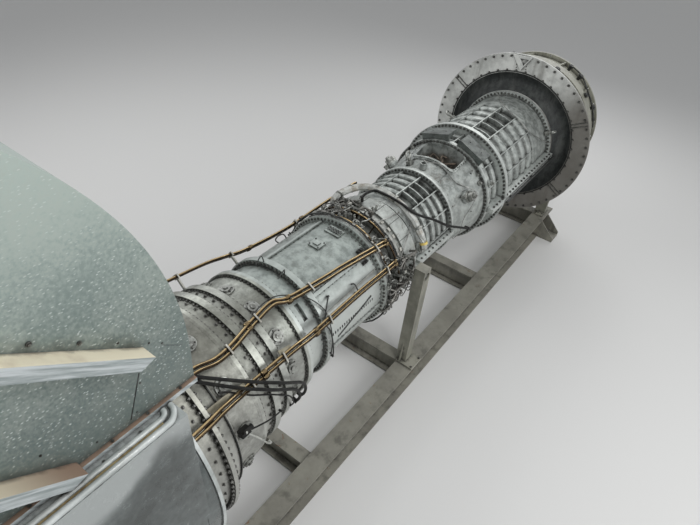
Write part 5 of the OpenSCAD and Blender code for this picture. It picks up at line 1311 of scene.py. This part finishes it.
# Screws, slit and seam lines of the exhaust duct's sides: x, height and size
ductMarks = {
    "screws": [(-3.188, 3.379, 0.011), (-3.020, 3.244, 0.010), (-2.869, 3.117, 0.005), (-2.730, 3.001, 0.005),
               (-2.666, 2.947, 0.005), (-2.814, 2.798, 0.0045), (-2.862, 2.625, 0.0045), (-3.077, 2.630, 0.005),
               (-3.40, 3.55, 0.010), (-3.60, 3.70, 0.010), (-3.30, 2.80, 0.006), (-3.55, 2.98, 0.006)],
    "lines": [((-2.808, 2.864), (-2.900, 2.602), 0.007), ((-2.668, 2.935), (-2.561, 2.845), 0.0022)],
    "half": 0.66, "lineDepth": 0.0008,
}


def makeDuctMarks():
    screws, slits = bmesh.new(), bmesh.new()
    for side in bothSides:
        y = side * ductMarks["half"]
        for x, high, size in ductMarks["screws"]:
            place = aimed((x, y, high), (0, side, 0))
            addCylinder(screws, place, size, size * 0.5, 12)
            addCylinder(screws, place, size * 0.55, size, 6)
        for (x1, z1), (x2, z2), width in ductMarks["lines"]:
            middle = Vector(((x1 + x2) / 2, y + side * 0.0003, (z1 + z2) / 2))
            along = Vector((x2 - x1, 0, z2 - z1))
            turn = Matrix.Rotation(math.atan2(-along.z, along.x), 4, "Y")
            size = Matrix.Diagonal((along.length, ductMarks["lineDepth"], width, 1))
            bmesh.ops.create_cube(slits, size=1.0, matrix=Matrix.Translation(middle) @ turn @ size)
    finishMetal("duct_screws", screws, "boltSteel")
    finishMetal("duct_slits", slits, "railSteel")


makeDuctMarks()


# Sealing strip between the beads, and the screws beside it
hoodMarks = {"ledge": axisHeight + 1.045, "strip": 0.757, "endGap": 0.11, "screws": 9, "first": 0.12, "pitch": 0.2,
             "low": 0.71, "high": 0.672, "step": 0.08, "rise": 0.03}


def makeHoodMarks(settings):
    strip, marks = bmesh.new(), bmesh.new()
    ledge, back = settings["ledge"], hoodLow[0]
    long = hoodHigh[0] - settings["endGap"] - back
    for side in bothSides:
        addBlock(strip, Matrix.Translation((back + long / 2, side * settings["strip"], ledge)), (long, 0.012, 0.009))
        for i in range(settings["screws"]):
            x = back + settings["first"] + settings["pitch"] * i
            addCylinder(marks, Matrix.Translation((x, side * settings["low"], ledge)), 0.007, 0.005, 10)
            high = (x + settings["step"], side * settings["high"], ledge + settings["rise"])
            addCylinder(marks, Matrix.Translation(high), 0.008, 0.006, 6)
    finishMetal("bead_seals", strip, "agedSealant")
    finishMetal("hood_screws", marks, "boltSteel")


makeHoodMarks(hoodMarks)
print("exhaust fittings made")


# Bolts round the outlet flange, on both its faces: places along the lean and across the duct
outlet = {"lean": math.radians(52), "corner": (hoodLow[0], 0, axisHeight + 1.265), "faces": ((0.300, -1), (0.312, 1)),
          "sideBolts": 14, "sideFrom": -0.02, "sideLong": 1.94, "sideY": 0.695,
          "endBolts": 9, "endHalf": 0.60, "ends": (-0.035, 1.935), "size": 0.009}


def makeOutletBolts(settings):
    bm = bmesh.new()
    across = Vector((math.cos(settings["lean"]), 0, math.sin(settings["lean"])))
    along = Vector((-across.z, 0, across.x))
    sideSteps, endSteps = settings["sideBolts"] - 1, settings["endBolts"] - 1
    places = [(settings["sideFrom"] + settings["sideLong"] * i / sideSteps, y)
              for i in range(sideSteps + 1) for y in (-settings["sideY"], settings["sideY"])]
    places += [(s, -settings["endHalf"] + 2 * settings["endHalf"] * i / endSteps)
               for i in range(endSteps + 1) for s in settings["ends"]]
    for level, side in settings["faces"]:
        for s, y in places:
            place = Vector(settings["corner"]) + across * s + along * level + Vector((0, y, 0))
            addBolt(bm, aimed(place, along * side), settings["size"])
    finishMetal("outlet_bolts", bm, "boltSteel")


makeOutletBolts(outlet)


# Bolts of the base frame, the cradles' feet and the posts
baseBolts = {"anchorX": 4.0, "anchorY": 0.9, "footTop": 0.03, "gauge": 0.7, "railTop": 0.32, "cradleInset": 0.13,
             "cradle": (0.075, 0.03), "post": (0.08, 0.08), "postX": station["collar"] - 0.125,
             # washer, nut and thread end of an anchor: lift, radius, height and sides
             "anchor": ((0, 0.042, 0.006, 20), (0.006, 0.034, 0.028, 6), (0.034, 0.019, 0.03, 12))}


def makeBaseBolts(settings):
    bm = bmesh.new()
    corners = [(sx, sy) for sx in bothSides for sy in bothSides]
    for sx, sy in corners:
        place = Matrix.Translation((sx * settings["anchorX"], sy * settings["anchorY"], settings["footTop"]))
        for lift, radius, height, sides in settings["anchor"]:
            addCylinder(bm, shifted(place, z=lift), radius, height, sides)
    frontLow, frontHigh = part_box("front_legs")
    backLow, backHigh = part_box("exhaust_legs")
    inset = settings["cradleInset"]
    seats = [((frontLow[0] + frontHigh[0]) / 2, settings["cradle"], 0.011),
             (backLow[0] + inset, settings["cradle"], 0.011), (backHigh[0] - inset, settings["cradle"], 0.011),
             (settings["postX"], settings["post"], 0.012)]
    for x, (halfX, halfY), size in seats:
        for side in bothSides:
            for sx, sy in corners:
                place = (x + sx * halfX, side * settings["gauge"] + sy * halfY, settings["railTop"])
                addBolt(bm, Matrix.Translation(place), size)
    finishMetal("base_bolts", bm, "boltSteel")


makeBaseBolts(baseBolts)


# Fittings on the inlet housing: valves on its ribs and a cable, and straps and gusset bolts on the ring
housing = {
    "valves": [(4.30, 22.0, 0.95), (4.33, 33.0, 0.94), (4.12, 47.0, 0.955), (4.28, 60.0, 0.94), (3.85, 18.0, 1.0),
               (3.95, -20.0, 1.0)],
    "cable": [(4.36, 22.0, 0.955), (4.37, 33.0, 0.955), (4.25, 45.0, 0.965), (4.22, 58.0, 0.965), (4.20, 75.0, 0.96)],
    "straps": (-59.0, 62.0, 121.0, -121.0), "strapHalf": 1.25, "gussetTurns": (-0.6, -8.6), "gussetBolts": 5,
    "gussetPitch": 0.036,
}


def makeHousingFittings(settings):
    bm = bmesh.new()
    for x, angle, radius in settings["valves"]:
        place = standing(x, angle, radius - 0.04)
        addCylinder(bm, place, 0.022, 0.075, 16)
        addCylinder(bm, shifted(place, z=0.045), 0.034, 0.03, 6)
        addBlock(bm, shifted(place, 0.05, 0, 0.03), (0.07, 0.024, 0.024))
    addEngineTube(bm, settings["cable"], 0.010, 8, 6)
    finishMetal("housing_fittings", bm, "railSteel")
    bm = bmesh.new()
    for angle in settings["straps"]:
        for side in bothSides:
            addBlock(bm, standing(station["ring"] - 0.004, angle + side * settings["strapHalf"], 0.875),
                     (0.008, 0.010, 0.215))
    for k in range(settings["gussetBolts"]):
        for turn in settings["gussetTurns"]:
            place = onEngine(station["ring"] - 0.001, turn, 1.07 - settings["gussetPitch"] * k)
            addBolt(bm, aimed(place, (-1, 0, 0)), 0.006)
    finishMetal("ring_straps", bm, "boltSteel")


makeHousingFittings(housing)
print("base and housing fittings made")


# Studio: pale floor and walls, soft lamps
studio = {
    "floorColour": (0.80, 0.80, 0.79, 1), "floorSize": 60.0, "wallColour": (0.93, 0.945, 0.96, 1), "worldLight": 0.30,
    "key": {"place": (-0.5, -7.5, 5.5), "aim": (0.2, 0.0, 1.7), "size": (8.0, 6.0), "power": 330.0},
    "fill": {"place": (-1.0, 6.5, 6.5), "aim": (0.0, 0.0, 1.4), "size": (7.0, 5.0), "power": 185.0},
    "spark": {"place": (-1.8, -3.0, 6.8), "aim": (-0.3, 0.0, 1.7), "size": (0.9, 0.9), "power": 80.0},
    "rear": {"place": (7.5, 1.0, 6.0), "aim": (1.0, 0.0, 1.5), "size": (5.0, 4.0), "power": 150.0},
}


def makeFloor():
    material, _, shader = startMaterial("paleFloor", 0.0, 0.85)
    shader["Base Color"].default_value = studio["floorColour"]
    bm = bmesh.new()
    bmesh.ops.create_grid(bm, x_segments=1, y_segments=1, size=studio["floorSize"] / 2)
    mesh = bpy.data.meshes.new("floor")
    bm.to_mesh(mesh)
    bm.free()
    mesh.materials.append(material)
    floor = linkObject("floor", mesh)


def makeLamp(name, settings):
    data = bpy.data.lights.new(name, "AREA")
    data.shape = "RECTANGLE"
    data.size, data.size_y = settings["size"]
    data.energy = settings["power"]
    place = Vector(settings["place"])
    towards = (Vector(settings["aim"]) - place).to_track_quat("-Z", "Y")
    linkObject(name, data).matrix_world = Matrix.Translation(place) @ towards.to_matrix().to_4x4()


def makeWorld():
    world = bpy.data.worlds.new("studioWorld")
    bpy.context.scene.world = world
    world.use_nodes = True
    w = Nodes(world.node_tree)
    back = world.node_tree.nodes["Background"].inputs
    back["Color"].default_value = studio["wallColour"]
    rays = w.add("LightPath")
    seen = w.math("MAXIMUM", rays["Is Camera Ray"], rays["Is Glossy Ray"])
    seen = w.math("MAXIMUM", seen, rays["Is Transmission Ray"])
    w.feed(back["Strength"], w.plus(studio["worldLight"], w.times(seen, 1.0 - studio["worldLight"])))


makeFloor()
makeWorld()
for lampName in ("key", "fill", "spark", "rear"):
    makeLamp(lampName, studio[lampName])
bpy.context.scene.view_settings.view_transform = "Standard"
print("studio ready")
